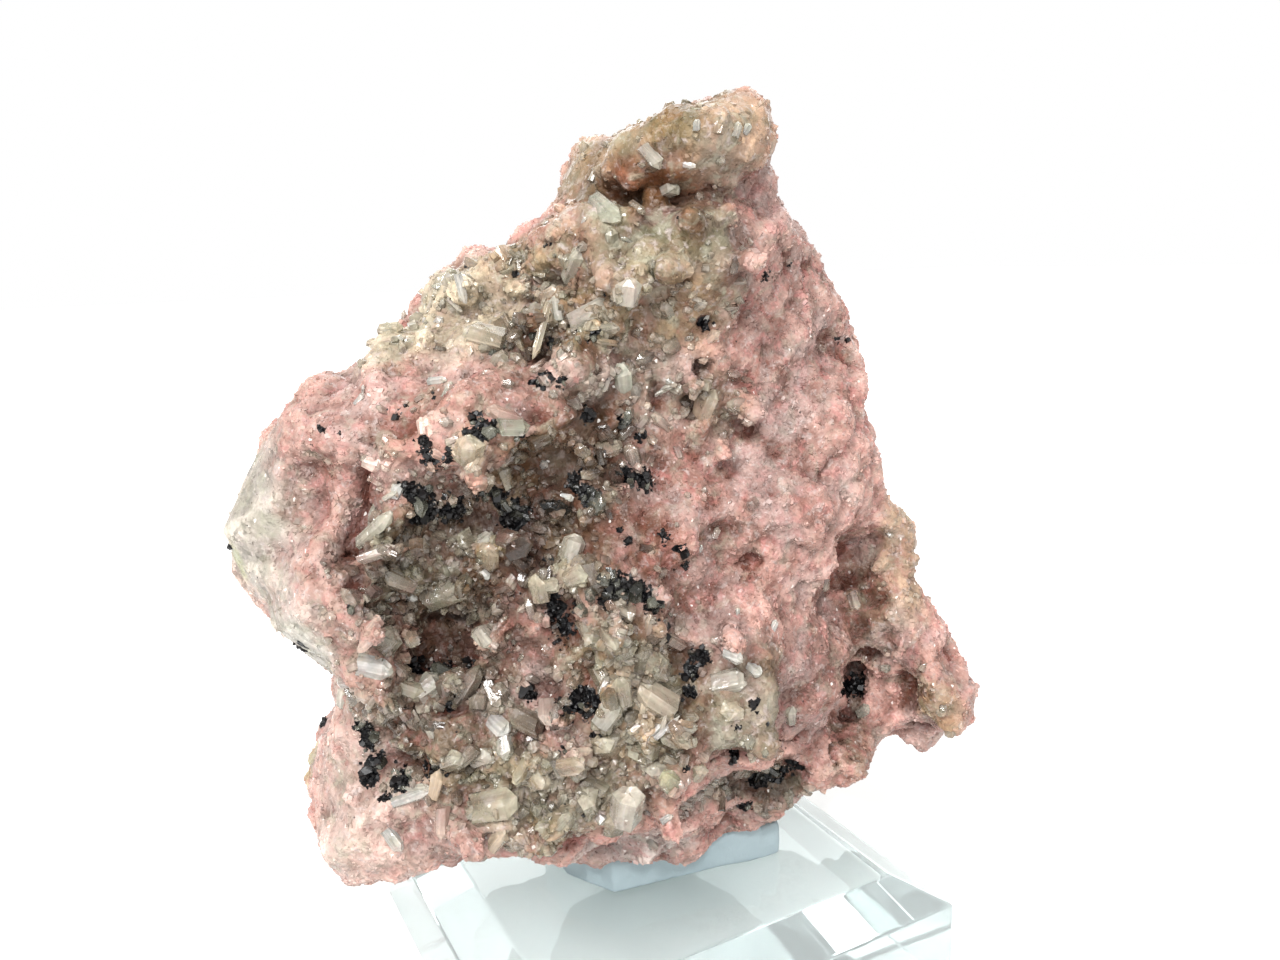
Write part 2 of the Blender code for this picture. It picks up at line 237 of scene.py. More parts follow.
def start_material(name, **fixed):
    """A new Principled material, with fixed sockets set by name; also its place and its shader."""
    made = bpy.data.materials.new(name)
    made.use_nodes = True
    tree = made.node_tree
    shader = tree.nodes["Principled BSDF"]
    for socket, value in fixed.items():
        shader.inputs[socket.replace("_", " ")].default_value = value
    coordinates = tree.nodes.new("ShaderNodeTexCoord")
    return made, Wire(tree, coordinates.outputs["Object"]), shader


def grain(place, size_mm, detail=2.0, roughness=0.5, distortion=0.0):
    """Cloudy noise whose patches are about size_mm wide."""
    return place.node("ShaderNodeTexNoise", Vector=place, Scale=1000.0 / size_mm, Detail=detail,
                      Roughness=roughness, Distortion=distortion)


def faces_like_crystals(place, size_mm):
    """Cells about size_mm wide, each with one random colour all over."""
    return place.node("ShaderNodeTexVoronoi", output=1, Vector=place, Scale=1000.0 / size_mm)


def facing(cells, tilt, outward=None):
    """The surface's own direction, or another, tilted a little and differently in each cell."""
    outward = outward or cells.node("ShaderNodeNewGeometry", output=1)
    return outward.moved(cells.moved((-0.5, -0.5, -0.5)).brightened(2.0 * tilt)).unit_length()


def bump(place, height, depth_mm, strength, **normal):
    """Surface relief from a height that runs from 0 to 1."""
    return place.node("ShaderNodeBump", Height=height, Distance=depth_mm * MM, Strength=strength,
                      **normal)


print("shader helpers ready")

# %% [markdown]
# ## The fine surface of the stone
#
# Rhodochrosite of this kind is a mass of rounded lumps, each a few grains across. The plain solid is
# copied, its loose triangles are merged, and a voxel remesh gives it an even, closed skin. Its
# vertices are then moved along their normals by distances to scattered points, which makes lumps
# with creases between them, as a sculptor's clay brush would.

# %% Even skin over the solid
STONE_GRID_MM = 0.5


def merged_copy(node):
    """A copy of a solid's mesh with its loose triangles joined."""
    solid = bmesh.new()
    solid.from_mesh(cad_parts[node].data)
    bmesh.ops.remove_doubles(solid, verts=solid.verts, dist=0.001 * MM)
    mesh = bpy.data.meshes.new(node + "_copy")
    solid.to_mesh(mesh)
    solid.free()
    return mesh


def even_skin(mesh, grid_mm):
    """Remesh a closed mesh on an even grid."""
    helper = bpy.data.objects.new("helper", mesh)
    bpy.context.scene.collection.objects.link(helper)
    grid = helper.modifiers.new("even grid", "REMESH")
    grid.mode = "VOXEL"
    grid.voxel_size = grid_mm * MM
    grid.use_smooth_shade = True
    graph = bpy.context.evaluated_depsgraph_get()
    result = bpy.data.meshes.new_from_object(helper.evaluated_get(graph), depsgraph=graph)
    bpy.data.objects.remove(helper)
    return result


def read_vectors(mesh, what):
    """Read every vertex's co or normal as rows of three numbers."""
    values = np.empty(len(mesh.vertices) * 3)
    mesh.vertices.foreach_get(what, values)
    return values.reshape(-1, 3)


def write_points(mesh, points):
    """Move every vertex."""
    mesh.vertices.foreach_set("co", points.ravel())
    mesh.update()


stone_mesh = even_skin(merged_copy("rhodochrosite_specimen"), STONE_GRID_MM)
print("stone skin:", len(stone_mesh.vertices), "vertices")

# %% [markdown]
# ### Where the minerals lie
#
# The stone isn't pink all over. Cream quartz caps its top and runs down its left slope, a grey and
# brown druse with black sphalerite fills its middle, and pale quartz bands its foot and its right
# edge. Each patch is one row below: where its middle shows, how far it reaches in millimetres, its
# colour and its share, how much of it is quartz, and how crowded it is with crystals. The rows are
# laid over each other in order, with ragged edges. Colours are 8-bit display values.

# %% Patches of mineral
# Pink rock
# Near-white salmon: painted light on two spots that lie in shade.
SALMON_WITH_PAINTED_LIGHT = (255, 236, 226)
PALE_SALMON = (244, 212, 198)
SALMON = (234, 184, 170)
PEACH = (212, 162, 146)
BLUSH_WHITE = (206, 178, 170)
ROSE = (198, 160, 148)
DUSKY_ROSE = (182, 140, 128)
DEEP_ROSE = (154, 118, 108)
MAUVE = (134, 106, 96)
# Quartz
PEARL_WHITE = (244, 238, 224)
IVORY = (238, 220, 188)
CHALK = (218, 210, 196)
WHITE_QUARTZ = (226, 216, 200)
CREAM = (206, 188, 160)
PEARL = (206, 196, 180)
APRICOT = (208, 174, 146)
BEIGE = (188, 162, 130)
SAND = (178, 150, 116)
TAN = (158, 130, 108)
KHAKI = (152, 128, 98)
# Quartz with grey or green in it
PALE_GREEN = (190, 192, 170)
LIME = (184, 188, 138)
STONE_GREY = (172, 170, 160)
GREY_CREAM = (164, 152, 130)
SAGE = (158, 148, 122)
MOSS = (160, 142, 112)
ASH = (136, 126, 112)
SMOKE = (124, 106, 88)
# Iron stain
AMBER = (178, 152, 92)
RUST = (162, 104, 78)
TERRACOTTA = (156, 98, 84)
OCHRE = (134, 108, 74)
HAZEL = (113, 88, 60)
BROWN = (126, 94, 72)
SIENNA = (118, 72, 46)
OLIVE = (102, 82, 58)
# Pits and shadows
MAROON = (108, 62, 52)
SLATE = (84, 76, 66)
CHOCOLATE = (72, 48, 38)
BITTER_BROWN = (62, 40, 24)
SOOT = (44, 34, 31)

# name, across and down in the view, reach across and up in mm, colour, share, quartz, crystals
FRONT_PATCHES = (
    ("left flank", 320, 440, 8.0, 9.0, ROSE, 0.95, 0.15, 0.01),
    ("left foot of the flank", 330, 600, 4.0, 7.0, ROSE, 0.9, 0.1, 0.01),
    ("salmon ridge", 430, 372, 10.0, 4.0, SALMON, 0.95, 0.1, 0.0),
    # Painted light: a spot shaded by an overhang is made nearly white.
    ("salmon ridge's right", 575, 378, 4.0, 2.0, SALMON_WITH_PAINTED_LIGHT, 1.0, 0.1, 0.03),
    ("pale left edge", 234, 520, 4.8, 9.5, CHALK, 0.95, 0.9, 0.0),
    ("pale left foot of the edge", 308, 655, 3.4, 7.0, PEARL_WHITE, 1.0, 0.9, 0.0),
    ("upper slope", 450, 300, 10.0, 5.0, IVORY, 0.95, 0.9, 0.22),
    ("slope foot", 395, 335, 6.0, 3.5, IVORY, 0.9, 0.7, 0.08),
    ("slope top", 530, 245, 6.0, 4.0, SAND, 0.9, 0.7, 0.22),
    ("slope's blush", 545, 222, 3.0, 2.0, DUSKY_ROSE, 0.5, 0.3, 0.05),
    ("brown prisms", 520, 335, 5.0, 2.8, BITTER_BROWN, 0.9, 0.8, 0.5),
    ("prisms below the knob", 590, 320, 6.0, 4.0, OCHRE, 0.9, 0.9, 0.4),
    ("cap", 665, 130, 11.5, 5.5, OCHRE, 1.0, 0.9, 0.06),
    ("cap's left end", 612, 168, 4.5, 4.5, SAND, 0.95, 0.9, 0.05),
    ("cap's left edge", 580, 160, 4.5, 4.5, SAND, 0.95, 0.9, 0.05),
    ("cap's right end", 740, 130, 3.5, 5.0, APRICOT, 0.8, 0.9, 0.04),
    ("under the cap", 650, 175, 6.0, 2.4, SIENNA, 0.95, 0.9, 0.06),
    ("knob", 665, 240, 8.0, 5.0, HAZEL, 0.95, 0.95, 0.06),
    ("knob's blush", 690, 212, 3.5, 1.6, BROWN, 0.8, 0.9, 0.05),
    ("knob's foot", 670, 310, 6.0, 4.0, SAND, 0.9, 0.7, 0.3),
    ("tan bay", 715, 395, 4.5, 4.0, TAN, 0.9, 0.7, 0.25),
    ("bay's left", 640, 370, 3.5, 3.0, SMOKE, 0.9, 0.7, 0.3),
    ("upper right", 800, 320, 7.0, 14.0, ROSE, 0.95, 0.0, 0.0),
    ("knob's right", 720, 255, 2.6, 4.5, CHOCOLATE, 0.6, 0.9, 0.06),
    ("druse", 555, 450, 11.0, 6.5, OCHRE, 0.95, 0.75, 0.5),
    ("druse's dark seam", 530, 503, 9.5, 1.8, CHOCOLATE, 0.4, 0.7, 0.4),
    ("druse's blush", 520, 400, 6.0, 2.5, DUSKY_ROSE, 0.8, 0.3, 0.08),
    ("druse's green", 590, 400, 2.8, 2.4, BITTER_BROWN, 0.9, 0.6, 0.2),
    ("druse's right green", 615, 455, 4.0, 3.2, BITTER_BROWN, 0.9, 0.7, 0.45),
    ("druse left", 440, 455, 6.0, 4.0, PEACH, 0.9, 0.4, 0.2),
    ("brown quartz", 440, 575, 9.0, 7.5, SMOKE, 0.95, 0.85, 0.55),
    ("brown stain", 425, 545, 6.0, 3.5, OLIVE, 0.9, 0.8, 0.5),
    ("quartz heart", 450, 590, 5.0, 3.0, HAZEL, 0.9, 0.95, 0.45),
    ("middle", 560, 545, 6.0, 6.0, CHOCOLATE, 0.95, 0.7, 0.5),
    ("middle's cream", 580, 550, 3.0, 4.0, OLIVE, 0.8, 0.9, 0.6),
    ("rose middle", 555, 655, 5.0, 2.4, MAUVE, 0.9, 0.2, 0.08),
    ("quartz shelf", 640, 680, 7.0, 9.0, KHAKI, 0.95, 0.95, 0.6),
    ("shelf's right", 750, 705, 5.5, 6.0, OLIVE, 0.95, 0.8, 0.06),
    ("lower left quartz", 440, 720, 9.0, 7.0, SMOKE, 0.95, 0.6, 0.5),
    ("lower left rose", 430, 735, 5.0, 2.2, SMOKE, 0.8, 0.3, 0.15),
    ("foot band", 540, 790, 11.0, 4.2, MOSS, 0.95, 0.85, 0.5),
    ("corner", 345, 835, 6.5, 7.5, PALE_SALMON, 0.95, 0.65, 0.0),
    ("corner's right", 440, 835, 6.0, 3.0, ROSE, 0.9, 0.4, 0.05),
    # Painted light: the shaded underside of the foot is made nearly white.
    ("foot rose", 620, 842, 8.0, 2.2, SALMON_WITH_PAINTED_LIGHT, 1.0, 0.1, 0.03),
    ("foot's grey", 540, 835, 3.5, 2.0, KHAKI, 0.9, 0.5, 0.5),
    ("foot's right", 720, 775, 6.0, 3.0, SMOKE, 0.9, 0.8, 0.5),
    ("foot's dark end", 770, 790, 4.0, 2.4, SMOKE, 0.85, 0.6, 0.6),
    ("peach swelling", 785, 495, 6.5, 4.5, DUSKY_ROSE, 0.95, 0.05, 0.0),
    ("rose rib", 690, 530, 6.5, 9.0, DUSKY_ROSE, 0.9, 0.1, 0.03),
    ("middle's right", 640, 545, 5.0, 3.0, SIENNA, 0.7, 0.2, 0.06),
    ("right lumps", 820, 690, 4.0, 8.0, DEEP_ROSE, 0.95, 0.05, 0.0),
    ("right recess", 870, 620, 3.6, 7.0, TAN, 0.9, 0.2, 0.05),
    ("right foot lumps", 860, 750, 4.5, 3.0, TAN, 0.9, 0.1, 0.03),
    ("right cream band", 905, 545, 2.8, 9.0, APRICOT, 0.95, 0.5, 0.05),
    ("right foot", 940, 680, 4.0, 3.5, DUSKY_ROSE, 0.9, 0.1, 0.03),
    ("right foot cream", 930, 712, 3.6, 3.2, SAND, 0.9, 0.5, 0.15),
)
# Patches of the back, the sides and the top, with the middle as x, y and z in mm
# Their colours are paler than the front's, as painted light for the dimmer light on the back.
BACK_PATCHES = (
    ("back top", 6.0, 16.0, 84.0, 12.0, 9.0, IVORY, 0.9, 0.8, 0.3),
    ("back middle", -14.0, 22.0, 60.0, 16.0, 10.0, CREAM, 0.8, 0.8, 0.4),
    ("back seam", -2.0, 24.0, 50.0, 9.0, 2.5, TAN, 0.6, 0.6, 0.5),
    ("back blush", 14.0, 18.0, 56.0, 10.0, 8.0, PALE_SALMON, 0.8, 0.1, 0.0),
    ("back foot", 16.0, 16.0, 34.0, 14.0, 8.0, IVORY, 0.8, 0.8, 0.4),
    ("back brown", -22.0, 20.0, 36.0, 8.0, 7.0, SAND, 0.6, 0.6, 0.5),
    ("left side", -38.0, 4.0, 40.0, 9.0, 9.0, PALE_SALMON, 0.7, 0.2, 0.0),
    ("right side", 27.0, 6.0, 46.0, 8.0, 13.0, PALE_SALMON, 0.7, 0.3, 0.05),
    ("top", 8.0, 2.0, 93.0, 12.0, 3.0, CREAM, 0.8, 0.8, 0.1),
)
# Noise that makes the edges ragged: size and shift of each layer
PATCH_WANDER_MM = ((9.0, 1.5), (3.0, 0.9), (1.2, 0.4))
PATCH_END = 1.35
PATCH_FADE = 0.7
PATCH_LEAST_DEPTH_MM = 4.0
# A light salmon, in part painted light, as this ground shows mostly on the dim back.
GROUND_COLOUR = SALMON
GROUND_QUARTZ = 0.08


def wandered(points, layers):
    """Shift every point by noise, so that edges are ragged. Points are in mm."""
    shifted = points.copy()
    for size, shift in layers:
        shifted += shift * np.array([noise.noise_vector(Vector(point) / size) for point in points])
    return shifted


def nearness(points, middle, across, up, least_depth):
    """1 in the middle of a patch, falling smoothly to 0 past its reach."""
    offset = points - middle
    aside = offset @ np.array(level_right) / across
    behind = offset @ np.array(level_ahead) / max(across, up, least_depth)
    above = offset[:, 2] / up
    reach = np.sqrt(aside ** 2 + above ** 2 + behind ** 2)
    return np.clip((PATCH_END - reach) / PATCH_FADE, 0.0, 1.0)


def seen_at(across, down):
    """A place on the stone in mm."""
    return np.array(place_under(across, down)[0]) / MM


def towards(tint, colour, share):
    """Mix rows of colour towards one colour, each by its own share."""
    return tint * (1.0 - share[:, None]) + np.array(linear(*colour))[:3] * share[:, None]


def mineral_fields(points):
    """Colour, share of quartz and crowd of crystals at every point of the stone."""
    wide = wandered(points, PATCH_WANDER_MM)
    tint = np.tile(np.array(linear(*GROUND_COLOUR))[:3], (len(points), 1))
    quartz = np.full(len(points), GROUND_QUARTZ)
    crowd = np.zeros(len(points))
    patches = [(seen_at(across, down), *rest) for _, across, down, *rest in FRONT_PATCHES]
    patches += [(np.array((x, y, z)), *rest) for _, x, y, z, *rest in BACK_PATCHES]
    for middle, reach, rise, colour, share, clear, crystals in patches:
        weight = nearness(wide, middle, reach, rise, PATCH_LEAST_DEPTH_MM)
        tint = towards(tint, colour, weight * share)
        quartz = quartz * (1.0 - weight) + clear * weight
        crowd = crowd * (1.0 - weight) + crystals * weight
    return tint, quartz, crowd


stone_points = read_vectors(stone_mesh, "co") / MM
stone_tint, stone_quartz, stone_crowd = mineral_fields(stone_points)
print("quartz covers", round(float(stone_quartz.mean()), 2))

# %% [markdown]
# ### Pits and swellings
#
# Between the main forms there are small pits, where crystals left a gap, and small swellings. The
# dark colour of a pit is part iron stain and part painted shade. Each pit or swelling is a row: where
# it shows, its reach in millimetres, how far it rises (a pit has a minus sign), the colour it takes
# and its share. A coloured pit keeps its crystals out, so that it stays open, and a row with a share
# of 0 is a shape alone.

# %% Pits and swellings
# across, down, reach across, reach up, rise, colour, share
SMALL_FORMS = (
    (352, 520, 1.8, 4.2, -0.9, MAROON, 0.5),
    (440, 575, 8.0, 6.0, -1.0, TAN, 0.0),
    (590, 460, 6.0, 3.0, -0.9, TAN, 0.0),
    (570, 286, 1.5, 1.0, -2.6, SOOT, 0.95),
    (540, 245, 1.2, 0.8, -0.8, RUST, 0.8),
    (625, 182, 2.4, 0.8, 0.0, RUST, 0.6),
    (690, 185, 1.2, 1.5, 0.0, RUST, 0.6),
    (668, 148, 1.2, 1.5, -0.8, BROWN, 0.8),
    (650, 160, 1.6, 1.2, -0.5, TAN, 0.5),
    (652, 180, 6.0, 1.8, 0.9, RUST, 0.0),
    (578, 374, 3.4, 2.2, 1.4, PALE_SALMON, 0.4),
    (545, 310, 1.0, 1.6, -0.8, RUST, 0.7),
    (548, 356, 1.2, 0.6, -1.0, SOOT, 0.8),
    (528, 335, 0.6, 1.0, -0.8, MAROON, 0.8),
    (592, 348, 1.3, 1.8, -1.0, BROWN, 0.8),
    (470, 373, 0.8, 1.0, -0.8, RUST, 0.8),
    (705, 368, 1.0, 0.8, -1.6, CHOCOLATE, 0.9),
    (706, 323, 0.8, 0.6, -1.0, CHOCOLATE, 0.8),
    (750, 428, 1.8, 1.2, -0.8, DEEP_ROSE, 0.6),
    (545, 412, 1.2, 0.8, -0.7, TERRACOTTA, 0.7),
    (560, 470, 2.4, 1.6, -0.7, SLATE, 0.5),
    (362, 495, 1.8, 1.6, -1.4, MAROON, 0.75),
    (345, 530, 1.8, 2.0, -1.6, MAROON, 0.8),
    (340, 555, 1.6, 1.2, -1.0, CHOCOLATE, 0.6),
    (360, 586, 1.4, 1.0, -0.8, MAROON, 0.8),
    (372, 608, 0.8, 0.6, -0.6, CHOCOLATE, 0.9),
    (418, 522, 1.6, 1.0, -1.0, CHOCOLATE, 0.6),
    (490, 525, 3.6, 1.4, -1.0, SOOT, 0.6),
    (440, 626, 3.4, 0.9, -1.5, SOOT, 0.9),
    (452, 648, 3.4, 1.6, -1.3, CHOCOLATE, 0.8),
    (475, 662, 1.2, 1.2, -0.8, CHOCOLATE, 0.8),
    (422, 666, 1.6, 0.7, -1.2, SOOT, 0.85),
    (512, 625, 1.6, 1.8, -0.6, TERRACOTTA, 0.7),
    (562, 634, 1.8, 1.8, -1.4, CHOCOLATE, 0.85),
    (556, 604, 2.2, 1.2, -1.2, CHOCOLATE, 0.75),
    (590, 690, 0.9, 3.0, -1.0, MAROON, 0.7),
    (570, 704, 2.4, 1.4, -1.4, SOOT, 0.9),
    (548, 690, 1.6, 1.2, -0.6, CHOCOLATE, 0.7),
    (448, 710, 1.9, 0.5, -1.0, MAROON, 0.85),
    (425, 768, 3.6, 1.0, -1.4, CHOCOLATE, 0.85),
    (538, 724, 1.0, 0.8, -0.6, OLIVE, 0.8),
    (520, 745, 0.7, 1.4, -0.7, SLATE, 0.7),
    (690, 660, 1.8, 1.6, -1.2, CHOCOLATE, 0.8),
    (686, 692, 0.8, 1.2, -0.8, SLATE, 0.8),
    (708, 720, 0.7, 2.6, -0.9, BROWN, 0.85),
    (740, 757, 3.0, 0.45, -1.2, CHOCOLATE, 0.85),
    (780, 748, 1.8, 0.45, -1.2, CHOCOLATE, 0.85),
    (770, 785, 3.4, 1.6, -0.8, SLATE, 0.8),
    (792, 774, 1.6, 1.4, -0.8, SLATE, 0.7),
    (855, 682, 1.1, 2.4, -1.8, SOOT, 0.95),
    (850, 714, 1.0, 0.9, -1.2, SOOT, 0.85),
    (866, 656, 1.3, 1.3, -1.3, MAROON, 0.8),
    (843, 580, 2.4, 1.0, -1.0, MAROON, 0.8),
    (862, 635, 0.9, 2.0, -1.1, SLATE, 0.7),
    (905, 692, 0.9, 2.6, -1.1, BROWN, 0.8),
    (918, 726, 1.4, 0.9, -0.7, SLATE, 0.7),
    (872, 596, 1.4, 1.2, -0.6, SMOKE, 0.6),
    (836, 748, 0.5, 2.2, -1.2, OLIVE, 0.8),
    (804, 736, 0.8, 0.6, -0.7, MAROON, 0.8),
    (720, 537, 2.2, 1.4, -1.1, ASH, 0.7),
    (750, 563, 1.3, 0.5, -0.8, TERRACOTTA, 0.8),
    (755, 430, 0.8, 0.6, -0.6, OLIVE, 0.7),
    (625, 555, 1.4, 0.7, -0.7, TERRACOTTA, 0.7),
    (628, 500, 0.9, 0.9, -0.6, TERRACOTTA, 0.7),
    (830, 337, 1.0, 0.9, -0.5, TERRACOTTA, 0.7),
    (790, 262, 0.9, 1.2, -0.5, DEEP_ROSE, 0.6),
    (405, 425, 1.2, 1.4, -0.7, RUST, 0.6),
    (368, 440, 1.2, 1.4, -0.7, DEEP_ROSE, 0.6),
    (660, 395, 1.0, 1.8, -0.7, BROWN, 0.7),
    (820, 705, 2.6, 3.0, 0.8, DUSKY_ROSE, 0.5),
    (835, 635, 1.8, 3.2, 0.8, DUSKY_ROSE, 0.5),
    (855, 600, 0.9, 1.2, 0.8, CREAM, 0.7),
    (862, 748, 2.6, 2.2, 0.6, DUSKY_ROSE, 0.5),
    (935, 655, 2.0, 1.6, 0.5, PEACH, 0.5),
    (748, 715, 4.4, 3.4, 0.9, GREY_CREAM, 0.8),
    (650, 692, 2.4, 1.6, 0.7, CREAM, 0.8),
    (470, 448, 1.6, 1.9, 0.6, CREAM, 0.8),
    (478, 335, 2.6, 1.8, 0.5, CREAM, 0.8),
    (440, 425, 2.0, 1.2, 0.4, PALE_SALMON, 0.5),
    (520, 425, 1.8, 1.0, 0.3, ROSE, 0.8),
    (430, 575, 2.2, 1.6, 0.4, GREY_CREAM, 0.5),
    (500, 806, 2.4, 1.9, 0.6, CREAM, 0.8),
    (572, 570, 1.4, 1.4, 0.4, CREAM, 0.7),
    (538, 585, 1.3, 1.3, 0.5, CREAM, 0.8),
    (490, 552, 1.6, 1.4, 0.3, AMBER, 0.6),
    (400, 553, 2.0, 1.0, 0.0, BROWN, 0.5),
    (330, 760, 1.2, 4.0, 0.0, PALE_SALMON, 0.7),
    (312, 760, 0.8, 3.0, 0.3, LIME, 0.7),
    (236, 562, 1.0, 2.0, 0.0, LIME, 0.7),
    (713, 542, 0.5, 0.5, 0.1, AMBER, 0.9),
    (647, 798, 0.7, 1.4, -0.6, OLIVE, 0.9),
    (750, 475, 1.6, 0.9, 0.3, PEACH, 0.7),
    (815, 488, 1.5, 0.9, 0.6, DUSKY_ROSE, 0.8),
    (604, 212, 2.2, 2.4, 0.7, SAGE, 0.8),
    (640, 252, 4.4, 2.6, 0.5, SAGE, 0.8),
    (692, 262, 3.0, 3.0, 0.4, SAND, 0.6),
    (668, 220, 3.4, 1.0, 0.5, ROSE, 0.6),
    (716, 232, 1.1, 2.8, 0.4, GREY_CREAM, 0.7),
)
FORM_WANDER_MM = ((1.6, 0.35),)
FORM_LEAST_DEPTH_MM = 1.2
PIT_MM = -0.4
PIT_CLEARING = 0.85


def small_forms(points, tint, crowd):
    """Rise of every point, with the colours and crowds of crystals that the forms change."""
    near = wandered(points, FORM_WANDER_MM)
    rise = np.zeros(len(points))
    for across, down, reach, up, lift, colour, share in SMALL_FORMS:
        weight = nearness(near, seen_at(across, down), reach, up, FORM_LEAST_DEPTH_MM)
        smooth = weight * weight * (3.0 - 2.0 * weight)
        rise += lift * smooth
        # A pit's dark colour is painted shade as well as stain.
        tint = towards(tint, colour, smooth * share)
        if lift < PIT_MM and share > 0.0:
            crowd = crowd * (1.0 - PIT_CLEARING * smooth)
    return rise, tint, crowd


form_rise, stone_tint, stone_crowd = small_forms(stone_points, stone_tint, stone_crowd)
print("forms in mm:", round(float(form_rise.min()), 1), "to", round(float(form_rise.max()), 1))

# %% [markdown]
# Sphalerite sits in tight black clusters. Each row is where a cluster shows, its reach in
# millimetres and how many crystals it has. The ground under a cluster is darkened too.

# %% Black clusters
# across, down, reach, crystals
BLACK_CLUSTERS = (
    (408, 488, 0.8, 26), (418, 497, 0.9, 30), (426, 512, 1.2, 55), (455, 511, 1.3, 60),
    (463, 500, 0.7, 20), (492, 488, 1.0, 40), (500, 498, 0.7, 20), (510, 514, 1.2, 40),
    (522, 508, 0.9, 24), (424, 440, 0.5, 12), (430, 456, 0.8, 22), (447, 455, 0.6, 14),
    (437, 466, 0.4, 6), (475, 417, 0.5, 10), (476, 435, 0.7, 18), (490, 428, 0.7, 14),
    (520, 433, 0.5, 8), (543, 381, 0.5, 10), (532, 382, 0.3, 4), (556, 385, 0.3, 4),
    (589, 414, 0.7, 16), (624, 418, 0.6, 16), (641, 436, 0.5, 12), (645, 480, 1.0, 34),
    (630, 474, 0.9, 24), (576, 481, 0.9, 26), (590, 496, 1.0, 26), (560, 507, 0.5, 10),
    (620, 586, 1.3, 46), (610, 600, 0.8, 18), (641, 592, 1.1, 26), (656, 606, 1.0, 24),
    (545, 598, 0.8, 18), (552, 612, 0.8, 18), (575, 608, 0.5, 8), (630, 540, 0.35, 5),
    (664, 536, 0.5, 9), (682, 549, 0.4, 6), (621, 531, 0.3, 4), (685, 566, 0.4, 6),
    (300, 647, 0.5, 12), (324, 722, 0.7, 22), (364, 725, 0.8, 22), (370, 738, 0.7, 18),
    (378, 762, 0.9, 26), (369, 775, 0.8, 20), (403, 782, 1.1, 36), (430, 770, 1.2, 26),
    (385, 798, 0.5, 9), (418, 666, 0.7, 16), (442, 668, 0.8, 16), (470, 664, 0.6, 8),
    (527, 694, 0.7, 16), (563, 706, 1.2, 40), (582, 694, 0.9, 26), (588, 712, 0.9, 20),
    (595, 735, 0.5, 8), (562, 636, 1.0, 22), (480, 797, 0.5, 9), (452, 705, 0.4, 7),
    (700, 657, 0.9, 30), (690, 672, 0.8, 16), (688, 693, 0.5, 10), (668, 640, 0.4, 7),
    (775, 777, 1.0, 22), (792, 770, 0.8, 14), (760, 782, 0.8, 12), (735, 760, 0.4, 6),
    (736, 727, 0.3, 5), (754, 704, 0.3, 5), (767, 724, 0.25, 3), (688, 768, 0.3, 5),
    (853, 690, 1.0, 30), (706, 324, 0.5, 12), (597, 333, 0.4, 9), (500, 347, 0.4, 8),
    (541, 337, 0.4, 8), (551, 343, 0.4, 8), (607, 380, 0.3, 4), (396, 415, 0.25, 3),
    (320, 428, 0.3, 4), (340, 433, 0.25, 3), (405, 405, 0.25, 3), (432, 394, 0.2, 2),
    (350, 608, 0.3, 4), (230, 545, 0.3, 4), (548, 560, 0.3, 4), (590, 595, 0.4, 6),
    (565, 750, 0.4, 6), (790, 263, 0.3, 3), (848, 340, 0.25, 3), (768, 275, 0.25, 3),
    (545, 247, 0.2, 2), (468, 266, 0.25, 3), (517, 275, 0.3, 4), (745, 805, 0.8, 14),
)
INK_REACH = 1.25
INK_SQUASH = 0.85
INK_LEAST_DEPTH_MM = 0.8


def ink_field(points):
    """How black the sphalerite makes every point."""
    near = wandered(points, FORM_WANDER_MM)
    ink = np.zeros(len(points))
    for across, down, reach, _ in BLACK_CLUSTERS:
        wide = INK_REACH * reach
        spot = nearness(near, seen_at(across, down), wide, INK_SQUASH * wide, INK_LEAST_DEPTH_MM)
        ink = np.maximum(ink, spot)
    return ink


stone_ink = ink_field(stone_points)
print("black:", round(float(stone_ink.mean()), 3))

# %% [markdown]
# ### Lumps and creases
#
# Pink ground gets the full lumps. Quartz ground gets blocky facets in their place, most of all where
# crystals crowd it, and massive quartz without crystals is calmed by smoothing. How deep each point
# lies is measured by smoothing the whole skin and seeing how far it moved.

# %% Lumps
# size and drop of each layer of lumps
LUMPS_MM = ((4.2, 1.1), (2.1, 0.85), (1.15, 0.5))
LUMP_START_MM = 0.5
QUARTZ_LEVELS_LUMPS = 0.9
# cell size, random height and tilt of the quartz facets
FACETS_MM = ((3.0, 0.5, 0.42), (1.5, 0.22, 0.4))
FACET_CONTRAST = (0.34, 0.2)
FACET_SHARE = 0.3
FACET_SHARE_IN_CROWDS = 0.7
LUCK_STRETCH = 9.7  # Reads the noise at places far apart, so that neighbouring cells differ.
LUCK_GAIN = 1.6  # Noise stays well inside -1 to 1, and this spreads it out.
CALM_FROM_QUARTZ = 0.5
CALM_FADE = 0.4
CALM_CROWD_GAIN = 4.0
CALM_ROUNDS = 30
CALM_SHARE = 0.8
SMOOTHING_ROUNDS = 14


def lump_relief(points, layers):
    """Height of the lumps at every point: round tops with sharp creases between them."""
    relief = np.full(len(points), LUMP_START_MM)
    for size, drop in layers:
        nearest = np.array([noise.voronoi(Vector(point) / size)[0][0] for point in points])
        relief -= drop * nearest ** 2
    return relief


def cell_luck(points, size):
    """For every point: its offset from the heart of its cell, and the cell's three random values."""
    hearts = np.array([noise.voronoi(Vector(point) / size)[1][0] for point in points])
    luck = np.array([noise.noise_vector(Vector(heart) * LUCK_STRETCH) for heart in hearts])
    return points - hearts * size, luck


def facets(points):
    """Blocky facets: each cell is a tilted plane at its own height, with its own shade."""
    relief = np.zeros(len(points))
    shade = np.ones(len(points))
    for (size, height, tilt), contrast in zip(FACETS_MM, FACET_CONTRAST):
        offset, luck = cell_luck(points, size)
        slope = (offset * luck[:, [1, 2, 0]]).sum(axis=1)
        relief += height * luck[:, 0] * LUCK_GAIN + tilt * slope * LUCK_GAIN
        shade *= np.exp(contrast * LUCK_GAIN * luck[:, 1])
    return relief, shade


